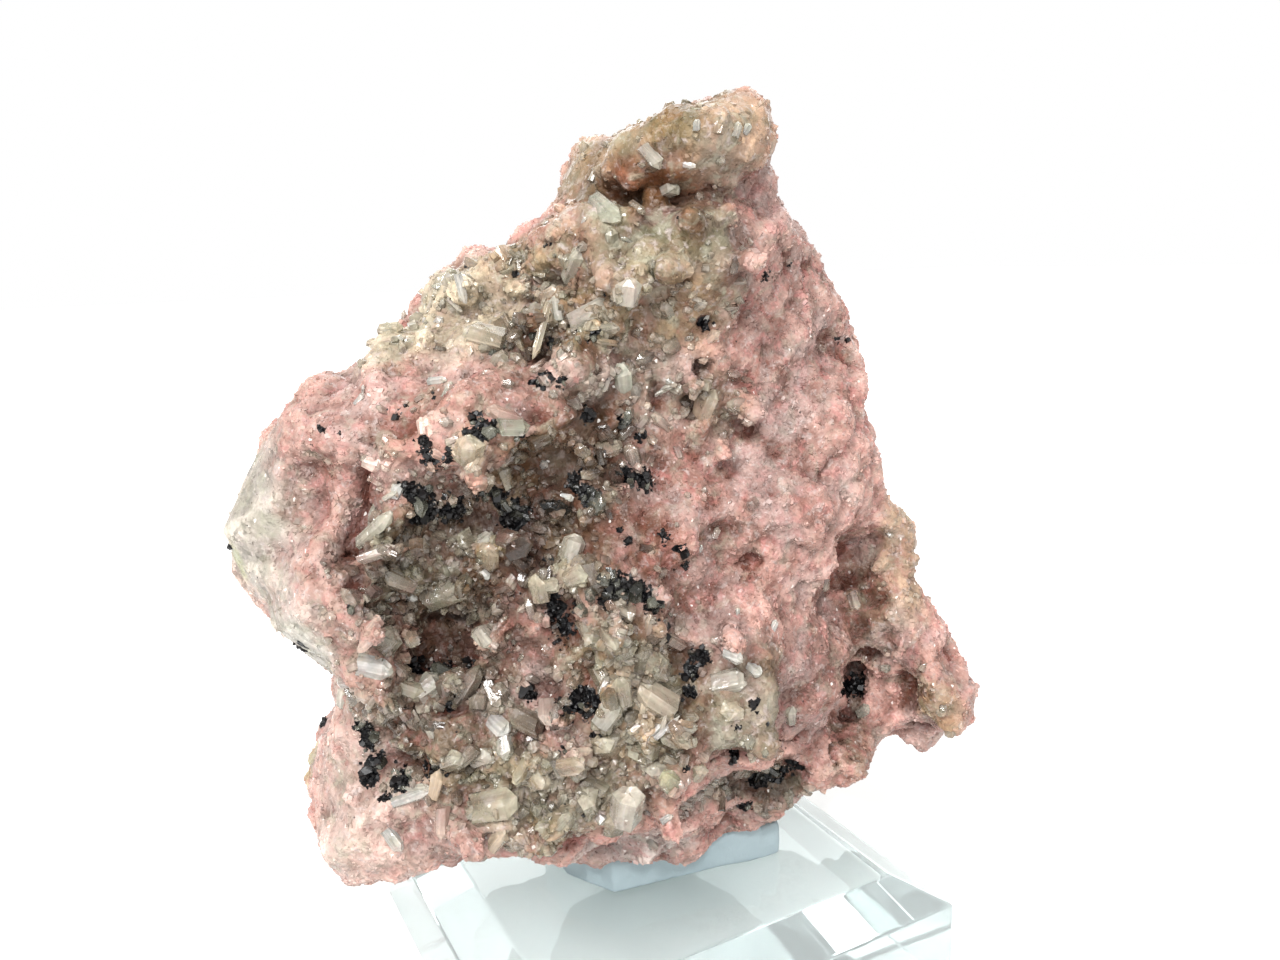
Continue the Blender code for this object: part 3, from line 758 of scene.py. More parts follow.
def smoothed(mesh, points, rounds):
    """Points drawn towards their neighbours, a number of times."""
    ends = np.empty(len(mesh.edges) * 2, dtype=np.int64)
    mesh.edges.foreach_get("vertices", ends)
    first, second = ends.reshape(-1, 2).T
    count = len(points)
    neighbours = np.bincount(first, minlength=count) + np.bincount(second, minlength=count)
    for _ in range(rounds):
        moved = np.empty_like(points)
        for axis in range(3):
            total = np.bincount(first, points[second, axis], count)
            total += np.bincount(second, points[first, axis], count)
            moved[:, axis] = total / neighbours
        points = moved
    return points


def steady_normals(mesh):
    """Vertex normals, rounded so that every run makes the same choices from them."""
    return np.round(read_vectors(mesh, "normal"), 4)


stone_outward = steady_normals(stone_mesh)
facet_rise, facet_shade = facets(stone_points)
facet_share = stone_quartz * (FACET_SHARE + FACET_SHARE_IN_CROWDS * stone_crowd)
lumps = lump_relief(stone_points, LUMPS_MM) * (1.0 - QUARTZ_LEVELS_LUMPS * stone_quartz)
lumps = lumps + facet_rise * facet_share
stone_tint = stone_tint * (1.0 + stone_quartz * (facet_shade - 1.0))[:, None]
stone_points = stone_points + stone_outward * (lumps + form_rise)[:, None]
massive = np.clip((stone_quartz - CALM_FROM_QUARTZ) / CALM_FADE, 0.0, 1.0)
calm = massive * np.clip(1.0 - CALM_CROWD_GAIN * stone_crowd, 0.0, 1.0)
calmed = smoothed(stone_mesh, stone_points, CALM_ROUNDS)
stone_points = stone_points + (CALM_SHARE * calm)[:, None] * (calmed - stone_points)
write_points(stone_mesh, stone_points * MM)
stone_outward = steady_normals(stone_mesh)
even_points = smoothed(stone_mesh, stone_points, SMOOTHING_ROUNDS)
stone_hollow = ((even_points - stone_points) * stone_outward).sum(axis=1)
print("lumps in mm:", round(float(lumps.min()), 2), "to", round(float(lumps.max()), 2))
print("hollows in mm, up to", round(float(stone_hollow.max()), 2))

# %% [markdown]
# ### Colour kept on the skin
#
# The colour of every point is stored on the mesh as an attribute, so that the skin and the grains
# that grow from it share it, and so are its shares of quartz and of black. Hollows are reddened and
# darkened, part iron stain and part painted shade, and ridges are paled as a painted highlight.

# %% Stain, painted shade and painted highlight, and store the colour
# Hollows: iron stain and painted shade. Ridges: a painted highlight.
STAIN_AND_SHADE = (112, 62, 50)
STAIN_AND_SHADE_FROM_MM = -0.02
STAIN_AND_SHADE_FULL_MM = 0.45
STAIN_AND_SHADE_SHARE = 0.8
QUARTZ_LESS_STAIN_AND_SHADE = 0.5
RIDGE_HIGHLIGHT_MM = 0.35
RIDGE_HIGHLIGHT_SHARE = 0.5
# Dim colours also take less of the painted shade in the hollows.
DIM_TINT = 0.2  # Colours dimmer than this take less stain, and are bleached less.
TINT_GAIN = 0.36
BRIGHTEST_TINT = 0.92


def stained_and_shaded(tint, hollow, quartz):
    """Redden the hollows as stain and painted shade, and pale the ridges as a painted highlight."""
    deep = np.clip((hollow - STAIN_AND_SHADE_FROM_MM) / (STAIN_AND_SHADE_FULL_MM - STAIN_AND_SHADE_FROM_MM), 0.0, 1.0)
    high = np.clip(-hollow / RIDGE_HIGHLIGHT_MM, 0.0, 1.0)
    # Painted highlight on the ridges.
    tint = tint * (1.0 + RIDGE_HIGHLIGHT_SHARE * high[:, None])
    bright = np.clip(tint.mean(axis=1) / DIM_TINT, 0.0, 1.0)
    # Painted shade, together with iron stain, in the hollows.
    share = deep * STAIN_AND_SHADE_SHARE * bright * (1.0 - QUARTZ_LESS_STAIN_AND_SHADE * quartz)
    return towards(tint, STAIN_AND_SHADE, share)


def store_minerals(mesh, tint, quartz, ink):
    """Keep a colour, a share of quartz and a share of black on every vertex of a mesh."""
    full = np.ones((len(tint), 4), dtype=np.float32)
    full[:, :3] = tint
    mesh.attributes.new("tint", "FLOAT_COLOR", "POINT").data.foreach_set("color", full.ravel())
    for name, values in (("quartz", quartz), ("ink", ink)):
        layer = mesh.attributes.new(name, "FLOAT", "POINT")
        layer.data.foreach_set("value", values.astype(np.float32))


stone_tint = TINT_GAIN * stained_and_shaded(stone_tint, stone_hollow, stone_quartz)
stone_tint = np.clip(stone_tint, 0.0, BRIGHTEST_TINT)
store_minerals(stone_mesh, stone_tint, stone_quartz, stone_ink)
print("mean stone colour, linear:", stone_tint.mean(axis=0).round(3))

# %% [markdown]
# ### Look of the minerals
#
# One function colours the skin and every crystal on it. Its clouds are noise on the piece's own
# place in space, so a milky wisp or a brown veil runs on from the skin over the crystals, as it does
# through a real druse. Quartz is clouded more than pink ground. Random cells stand for crystal faces
# that are too small to model: each differs a little in brightness, a few are painted white as
# glints, and all of them tilt the surface, so that they catch the light one by one. Black is drawn
# in with ragged edges.

# %% Colour of the minerals
MILKY = (216, 214, 188)
FROST = (246, 228, 222)
PINK = (240, 158, 152)
VEIL = (92, 66, 46)
BLUSH = (176, 104, 88)
SHADE_OF_GREEN = (126, 128, 98)
BLACK = (12, 12, 14)
# Near white, for painted glints and for the white streaks of quartz.
GLINT_AND_STREAK_WHITE = (250, 246, 240)
# colour, ground it lies on, shift and size in mm, where in the noise it starts and is full, its share
# on pink ground, and how much more or less on quartz
CLOUDS = (
    (BLUSH, "any", 11.0, 1.9, 0.48, 0.66, 0.45, -0.35),
    (PINK, "pale", 53.0, 1.3, 0.48, 0.64, 0.5, -0.5),
    (SHADE_OF_GREEN, "pale", 23.0, 3.0, 0.48, 0.62, 0.0, 0.5),
    (MILKY, "pale", 17.0, 2.0, 0.5, 0.68, 0.3, 0.3),
    (FROST, "pale", 41.0, 6.0, 0.46, 0.62, 0.3, -0.2),
    (VEIL, "dark", 3.0, 2.2, 0.5, 0.68, 0.1, 0.65),
    (FROST, "pale", 31.0, 0.9, 0.54, 0.7, 0.5, 0.1),
)
CELL_MM = 0.42
PAINTED_GLINT_MM = 0.26
FACE_MM = 1.2


def weathered(colour):
    """A mineral's colour at the strength that the skin has."""
    return tuple(TINT_GAIN * channel for channel in linear(*colour)[:3]) + (1.0,)


def clouds(place, shift_mm, size_mm, least, full):
    """Ragged clouds, 0 outside and 1 inside them."""
    moved = place.moved((shift_mm * MM, -shift_mm * MM, shift_mm * MM))
    return grain(moved, size_mm, detail=4.0, roughness=0.6, distortion=0.5).within(least, full)


def paleness(tint):
    """Small on dark ground and 1 on pale ground, to keep milky clouds off the dark."""
    return 0.12 + 0.88 * (tint * 1.0).within(0.008, 0.1)


def mineral_colour(place, cells):
    """Colour of the stone and of the crystals, from what their meshes keep."""
    quartz = place.stored("quartz")
    colour = place.stored("tint", output=0)
    pale = paleness(colour)
    grounds = {"any": 1.0, "pale": pale, "dark": 1.15 - 0.95 * pale}
    for tint, ground, shift_mm, size_mm, least, full, share, on_quartz in CLOUDS:
        cover = clouds(place, shift_mm, size_mm, least, full) * grounds[ground]
        colour = colour.tinted(weathered(tint), cover * (share + on_quartz * quartz))
    colour = colour.brightened(0.84 + 0.32 * cells)
    # Painted glints: a few tiny cells turn near white.
    painted_glints = faces_like_crystals(place, PAINTED_GLINT_MM) * 1.0
    colour = colour.tinted(linear(*GLINT_AND_STREAK_WHITE), 0.45 * painted_glints.within(0.93, 0.96))
    ragged = place.stored("ink") + 2.4 * grain(place, 0.9, detail=4.0, roughness=0.6) - 1.2
    return colour.tinted(linear(*BLACK), ragged.within(0.5, 0.6))


# %% Stone look
def stone_material():
    """Sugary rhodochrosite and quartz, coloured by the skin's own tint."""
    made, place, shader = start_material("sugary_stone", IOR=1.55, Specular_IOR_Level=0.14)
    tree = made.node_tree
    cells = faces_like_crystals(place, CELL_MM)
    connect(tree, mineral_colour(place, cells), shader.inputs["Base Color"])
    connect(tree, 0.14 + 0.4 * grain(place, 0.8), shader.inputs["Roughness"])
    faces = facing(cells, 0.35, facing(faces_like_crystals(place, FACE_MM), 0.3))
    height = 0.6 * grain(place, 0.75, detail=2.0) + 0.4 * grain(place, 0.28, detail=1.0)
    connect(tree, bump(place, height, 0.3, 0.7, Normal=faces), shader.inputs["Normal"])
    return made


stone_look = stone_material()


def finished_piece(name, mesh, look):
    """Put a finished mesh in the scene, on the one body, with its material."""
    mesh.name = name
    mesh.materials.clear()
    mesh.materials.append(look)
    item = bpy.data.objects.new(name, mesh)
    bpy.context.scene.collection.objects.link(item)
    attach(item, "root")
    return item


stone_skin = finished_piece("stone_skin", stone_mesh, stone_look)
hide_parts("rhodochrosite_specimen")
skin_tree = mesh_tree(stone_skin)
print("stone skin:", len(stone_mesh.polygons), "faces")

# %% [markdown]
# ## Growing crystals on the skin
#
# Thousands of small crystals share a few unit shapes. A rhomb is a cube pressed out of square along
# one diagonal. A quartz prism is a profile turned in six steps, and a dark crystal is one
# turned in four. Copies are placed by one array of matrices and joined in one mesh, because loose
# instances wouldn't be kept by an export. The corners of a quartz prism are shifted a little in each
# copy, so that no two are alike.

# %% Unit crystals
# radius and height of each corner, from the root to the tip
PRISM_PROFILE = ((0.0, 0.0), (0.47, 0.04), (0.5, 0.78), (0.2, 0.97), (0.0, 1.0))
DARK_PROFILE = ((0.0, 0.0), (0.5, 0.35), (0.34, 0.8), (0.0, 0.95))
RHOMB_CUBE = 0.62
RHOMB_HEIGHT = 0.8
SORT_WAY = Vector((1.0, 7.3, 53.1))


def steady_order(shape):
    """Sort the faces by their places, because some operators leave them in a new order each run."""
    shape.faces.sort(key=lambda face: face.calc_center_median().dot(SORT_WAY))


def turned_crystal(name, sides, profile):
    """Spin a profile of (radius, height) points into one closed crystal of unit size."""
    crystal = bmesh.new()
    points = [crystal.verts.new((radius, 0.0, height)) for radius, height in profile]
    edges = [crystal.edges.new(pair) for pair in zip(points, points[1:])]
    bmesh.ops.spin(crystal, geom=points + edges, cent=(0.0, 0.0, 0.0), axis=(0.0, 0.0, 1.0),
                   angle=math.tau, steps=sides, use_merge=True)
    bmesh.ops.remove_doubles(crystal, verts=crystal.verts, dist=0.0001)
    bmesh.ops.recalc_face_normals(crystal, faces=crystal.faces)
    steady_order(crystal)
    mesh = bpy.data.meshes.new(name)
    crystal.to_mesh(mesh)
    crystal.free()
    return mesh


def rhomb(name, height):
    """A cube stood on its corner and scaled along its upright diagonal, about one unit across."""
    crystal = bmesh.new()
    bmesh.ops.create_cube(crystal, size=RHOMB_CUBE)
    stand = Vector((1.0, 1.0, 1.0)).rotation_difference(Vector((0.0, 0.0, 1.0))).to_matrix()
    bmesh.ops.rotate(crystal, cent=(0.0, 0.0, 0.0), matrix=stand, verts=crystal.verts)
    bmesh.ops.scale(crystal, vec=(1.0, 1.0, height), verts=crystal.verts)
    mesh = bpy.data.meshes.new(name)
    crystal.to_mesh(mesh)
    crystal.free()
    return mesh


unit_rhomb = rhomb("unit_rhomb", RHOMB_HEIGHT)
unit_prism = turned_crystal("unit_prism", 6, PRISM_PROFILE)
unit_dark = turned_crystal("unit_dark", 4, DARK_PROFILE)
print("faces:", [len(mesh.polygons) for mesh in (unit_rhomb, unit_prism, unit_dark)])

# %% [markdown]
# Roots are picked at random over the skin's triangles, by area. Each root takes over the colour and
# the quartz share of its triangle, and draws its own luck at once, so that leaving one root out
# doesn't change the others.

# %% Roots on the skin
chance = np.random.default_rng(7)  # A fixed seed grows the same crystals in every run.


class Roots:
    """Places on the stone's skin, with what the skin knows there and each root's own luck."""

    def __init__(self, place, outward, nearest):
        count = len(place)
        self.place = place
        self.outward = outward
        self.tint = stone_tint[nearest]
        self.quartz = stone_quartz[nearest]
        self.ink = stone_ink[nearest]
        self.crowd = stone_crowd[nearest]
        self.hollow = stone_hollow[nearest]
        self.spin = chance.normal(size=(count, 3))
        self.lean = chance.normal(size=(count, 3))
        self.luck = chance.random((count, 5))
        self.growth = chance.normal(size=count)

    def keep(self, wanted, most):
        """Keep the wanted roots, up to a number, and drop the others."""
        chosen = np.flatnonzero(wanted)[:most]
        for name, values in vars(self).items():
            setattr(self, name, values[chosen])
        return self


def scattered_roots(count):
    """Roots spread evenly over the whole skin."""
    stone_mesh.calc_loop_triangles()
    corners = np.empty(len(stone_mesh.loop_triangles) * 3, dtype=np.int64)
    stone_mesh.loop_triangles.foreach_get("vertices", corners)
    corners = corners.reshape(-1, 3)
    sides = stone_points[corners]
    area = np.linalg.norm(np.cross(sides[:, 1] - sides[:, 0], sides[:, 2] - sides[:, 0]), axis=1)
    chosen = corners[chance.choice(len(corners), count, p=area / area.sum())]
    share = chance.dirichlet((1.0, 1.0, 1.0), count)[:, :, None]
    place = (stone_points[chosen] * share).sum(axis=1)
    outward = (stone_outward[chosen] * share).sum(axis=1)
    return Roots(place, outward, chosen[:, 0])


def unit_rows(vectors):
    """Scale every row to length one."""
    return vectors / np.linalg.norm(vectors, axis=1)[:, None]


CRYSTAL_SKEW = 0.35
CRYSTAL_STEP = np.array((3.7, 5.3, 7.1))  # Between the streaks of one crystal and those of the next
BLEACHED = 0.9


def turned_frames(direction, spin, width, depth, length):
    """One matrix of three columns for each crystal, its long axis along the direction."""
    axis = unit_rows(direction)
    side = unit_rows(np.cross(axis, spin))
    third = np.cross(axis, side)
    side = side + CRYSTAL_SKEW * np.tanh(spin[:, :1]) * axis
    return np.stack((side * width[:, None], third * depth[:, None], axis * length[:, None]), axis=2)


def joined_copies(name, unit, turns, shifts, tint, quartz, ink, wobble=0.0):
    """Join a copy of the unit mesh for every placement, each with its own minerals.

    Wobble moves every corner at random, so that no two crystals have the same faces.
    """
    count = len(shifts)
    corners = read_vectors(unit, "co")
    shapes = corners + wobble * chance.uniform(-1.0, 1.0, (count, len(corners), 3))
    points = np.einsum("nij,nvj->nvi", turns, shapes) + shifts[:, None, :]
    loops = np.empty(len(unit.loops), dtype=np.int64)
    unit.loops.foreach_get("vertex_index", loops)
    sizes = np.empty(len(unit.polygons), dtype=np.int64)
    unit.polygons.foreach_get("loop_total", sizes)
    every_loop = (loops[None, :] + np.arange(count)[:, None] * len(corners)).ravel()
    every_size = np.tile(sizes, count)
    mesh = bpy.data.meshes.new(name)
    mesh.vertices.add(count * len(corners))
    mesh.loops.add(len(every_loop))
    mesh.polygons.add(len(every_size))
    mesh.vertices.foreach_set("co", (points * MM).ravel())
    mesh.loops.foreach_set("vertex_index", every_loop)
    mesh.polygons.foreach_set("loop_start", np.concatenate(([0], np.cumsum(every_size)[:-1])))
    mesh.update(calc_edges=True)
    mesh.validate()
    mesh.shade_flat()
    store_minerals(mesh, *(np.repeat(values, len(corners), axis=0) for values in (tint, quartz, ink)))
    within = corners[None, :, :] + np.arange(count)[:, None, None] * CRYSTAL_STEP
    layer = mesh.attributes.new("place_in_crystal", "FLOAT_VECTOR", "POINT")
    layer.data.foreach_set("vector", within.astype(np.float32).ravel())
    layer = mesh.attributes.new("tip", "FLOAT", "POINT")
    layer.data.foreach_set("value", np.tile(corners[:, 2], count).astype(np.float32))
    return mesh


def grain_sizes(roots, middle, spread, least, most):
    """Sizes in mm, most of them near the middle and a few much larger."""
    return np.clip(middle * np.exp(spread * roots.growth), least, most)


def varied(roots, spread, bleach):
    """Vary the brightness of each crystal's colour, and pale some of them."""
    bright = np.exp(spread * roots.spin[:, 0])[:, None]
    lit = np.clip(roots.tint.mean(axis=1) / DIM_TINT, 0.0, 1.0)[:, None]
    pale = (bleach * roots.luck[:, 0] ** 3)[:, None] * lit
    tint = roots.tint * bright * (1.0 - pale) + pale * BLEACHED * TINT_GAIN
    return np.clip(tint, 0.0, BRIGHTEST_TINT)


print("roots ready")

# %% [markdown]
# ## Sugary grains
#
# The pink ground is made of rhombs about half a millimetre across. Each is turned at random and
# sunk by about a fifth of its size, and they differ a little in brightness, which gives the sugary
# sparkle. Few of them grow on quartz.

# %% Rhodochrosite grains
GRAINS_A_PIECE = 16000
GRAIN_PIECES = 3
GRAIN_MM = 0.46
GRAIN_SUNK = 0.22
TRIES_A_GRAIN = 1.6
NOT_ON_QUARTZ = 0.9


def grain_material():
    """Glossy small rhombs."""
    made, place, shader = start_material("rhodochrosite_grains", IOR=1.6, Specular_IOR_Level=0.14)
    cells = faces_like_crystals(place, CELL_MM)
    connect(made.node_tree, mineral_colour(place, cells), shader.inputs["Base Color"])
    connect(made.node_tree, 0.1 + 0.45 * grain(place, 0.9), shader.inputs["Roughness"])
    return made


grain_look = grain_material()
for number in range(GRAIN_PIECES):
    roots = scattered_roots(int(GRAINS_A_PIECE * TRIES_A_GRAIN))
    roots.keep(roots.luck[:, 1] > roots.quartz * NOT_ON_QUARTZ, GRAINS_A_PIECE)
    size = grain_sizes(roots, GRAIN_MM, spread=0.3, least=0.28, most=1.0)
    turns = turned_frames(roots.lean, roots.spin, size, size, size)
    shifts = roots.place - roots.outward * (GRAIN_SUNK * size)[:, None]
    tint = varied(roots, spread=0.1, bleach=0.2)
    mesh = joined_copies("grains", unit_rhomb, turns, shifts, tint, roots.quartz, roots.ink)
    finished_piece(f"rhodochrosite_grains_{number + 1}", mesh, grain_look)
    print("grains:", len(size))

# %% [markdown]
# ## Quartz
#
# Where quartz crowds, it grows as a crust of short, stubby prisms, with longer six-sided prisms and a
# few blocks standing out of it. It is milky, so part of its light goes straight through and the rest
# is scattered. Each crystal is darker towards its root, as painted shade.

# %% Quartz crust
PALE_QUARTZ = (238, 236, 210)
STREAK_SCALE = (5.0, 5.0, 0.8)  # Small steps along the axis, so that streaks run the crystal's way
PRISM_WOBBLE = 0.07
QUARTZ_SPREAD = 0.32


def quartz_material(name, clear, pale, gain, gloss):
    """Milky quartz: like its ground at the root, where shade is painted, and paler and streaked at
    the tip.
    """
    made, place, shader = start_material(name, Transmission_Weight=clear, IOR=1.45)
    within = place.stored("place_in_crystal", output=1)
    stretched = within.node("ShaderNodeVectorMath", {"operation": "MULTIPLY"}, _0=within,
                            _1=STREAK_SCALE)
    streaks = stretched.node("ShaderNodeTexNoise", Vector=stretched, Scale=1.0, Detail=3.0)
    tip = place.stored("tip")
    light = paleness(place.stored("tint", output=0))
    colour = mineral_colour(place, faces_like_crystals(place, CELL_MM))
    colour = colour.tinted(weathered(PALE_QUARTZ), pale * light * (0.3 + 0.9 * tip))
    colour = colour.tinted(weathered(GLINT_AND_STREAK_WHITE), 0.5 * light * streaks.within(0.6, 0.75))
    streaked = 0.8 + 0.4 * streaks.within(0.3, 0.7)
    # Painted shade: each crystal is darker towards its root.
    colour = colour.brightened((0.72 + 0.32 * tip) * streaked * gain)
    connect(made.node_tree, colour, shader.inputs["Base Color"])
    connect(made.node_tree, gloss + 0.25 * grain(place, 0.9) ** 2, shader.inputs["Roughness"])
    height = 0.5 * streaks + 0.5 * grain(place, 0.6, detail=3.0)
    connect(made.node_tree, bump(place, height, 0.15, 0.6), shader.inputs["Normal"])
    return made


crust_look = quartz_material("quartz_crust", 0.25, 0.15, 1.3, 0.08)
prism_look = quartz_material("quartz_prisms", 0.55, 0.3, 1.6, 0.03)
bright_look = quartz_material("bright_quartz", 0.6, 0.25, 2.2, 0.02)
# name, most crystals, tries for each, how strictly they keep to the crowds, sizes in mm (usual one,
# spread, least, most), slenderness (least, and up to how much more), lean, sunk, look, share bleached
QUARTZ_KINDS = (
    ("quartz_crust", 3000, 10, 1.3, (0.75, 0.3, 0.4, 1.4), (0.7, 0.5), 1.0, 0.7, crust_look, 0.3),
    ("small_prisms", 4200, 9, 1.3, (0.72, 0.38, 0.35, 1.6), (1.1, 1.0), 0.8, 0.6, prism_look, 0.35),
    ("quartz_blocks", 160, 24, 2, (1.7, 0.25, 1.1, 2.6), (0.9, 0.8), 0.9, 0.8, prism_look, 0.05),
)


def grow(name, roots, width, slenderness, lean, sunk, look, bleach):
    """Join one prism for each root into a piece."""
    length = width * slenderness
    depth = width * (0.7 + 0.3 * roots.luck[:, 3])
    direction = roots.outward + lean * roots.lean
    turns = turned_frames(direction, roots.spin, width, depth, length)
    shifts = roots.place - turns[:, :, 2] * sunk
    tint = varied(roots, QUARTZ_SPREAD, bleach)
    mesh = joined_copies(name, unit_prism, turns, shifts, tint, roots.quartz, roots.ink, PRISM_WOBBLE)
    finished_piece(name, mesh, look)
    print(name, len(width))


for name, most, tries, strictness, sizes_mm, (stubby, slender), *how in QUARTZ_KINDS:
    roots = scattered_roots(most * tries)
    roots.keep(roots.luck[:, 1] < roots.crowd ** strictness, most)
    grow(name, roots, grain_sizes(roots, *sizes_mm), stubby + slender * roots.luck[:, 2], *how)

# %% [markdown]
# ## Crystals that catch the eye
#
# The largest and brightest quartz prisms are placed one by one. Each row says where the crystal
# shows, its length and width in millimetres, which way it points in the view in degrees (0 is to
# the right, 90 is up), how much it leans out of the stone, and its colour. Many are near white: some
# are white crystals, and some are put where glints show, as painted highlights.

# %% Placed crystals
# Near white: white crystals, and painted highlights where glints show.
ICE_AND_GLINT_WHITE = (240, 240, 238)
MILK = (226, 220, 206)
HONEY = (196, 184, 158)
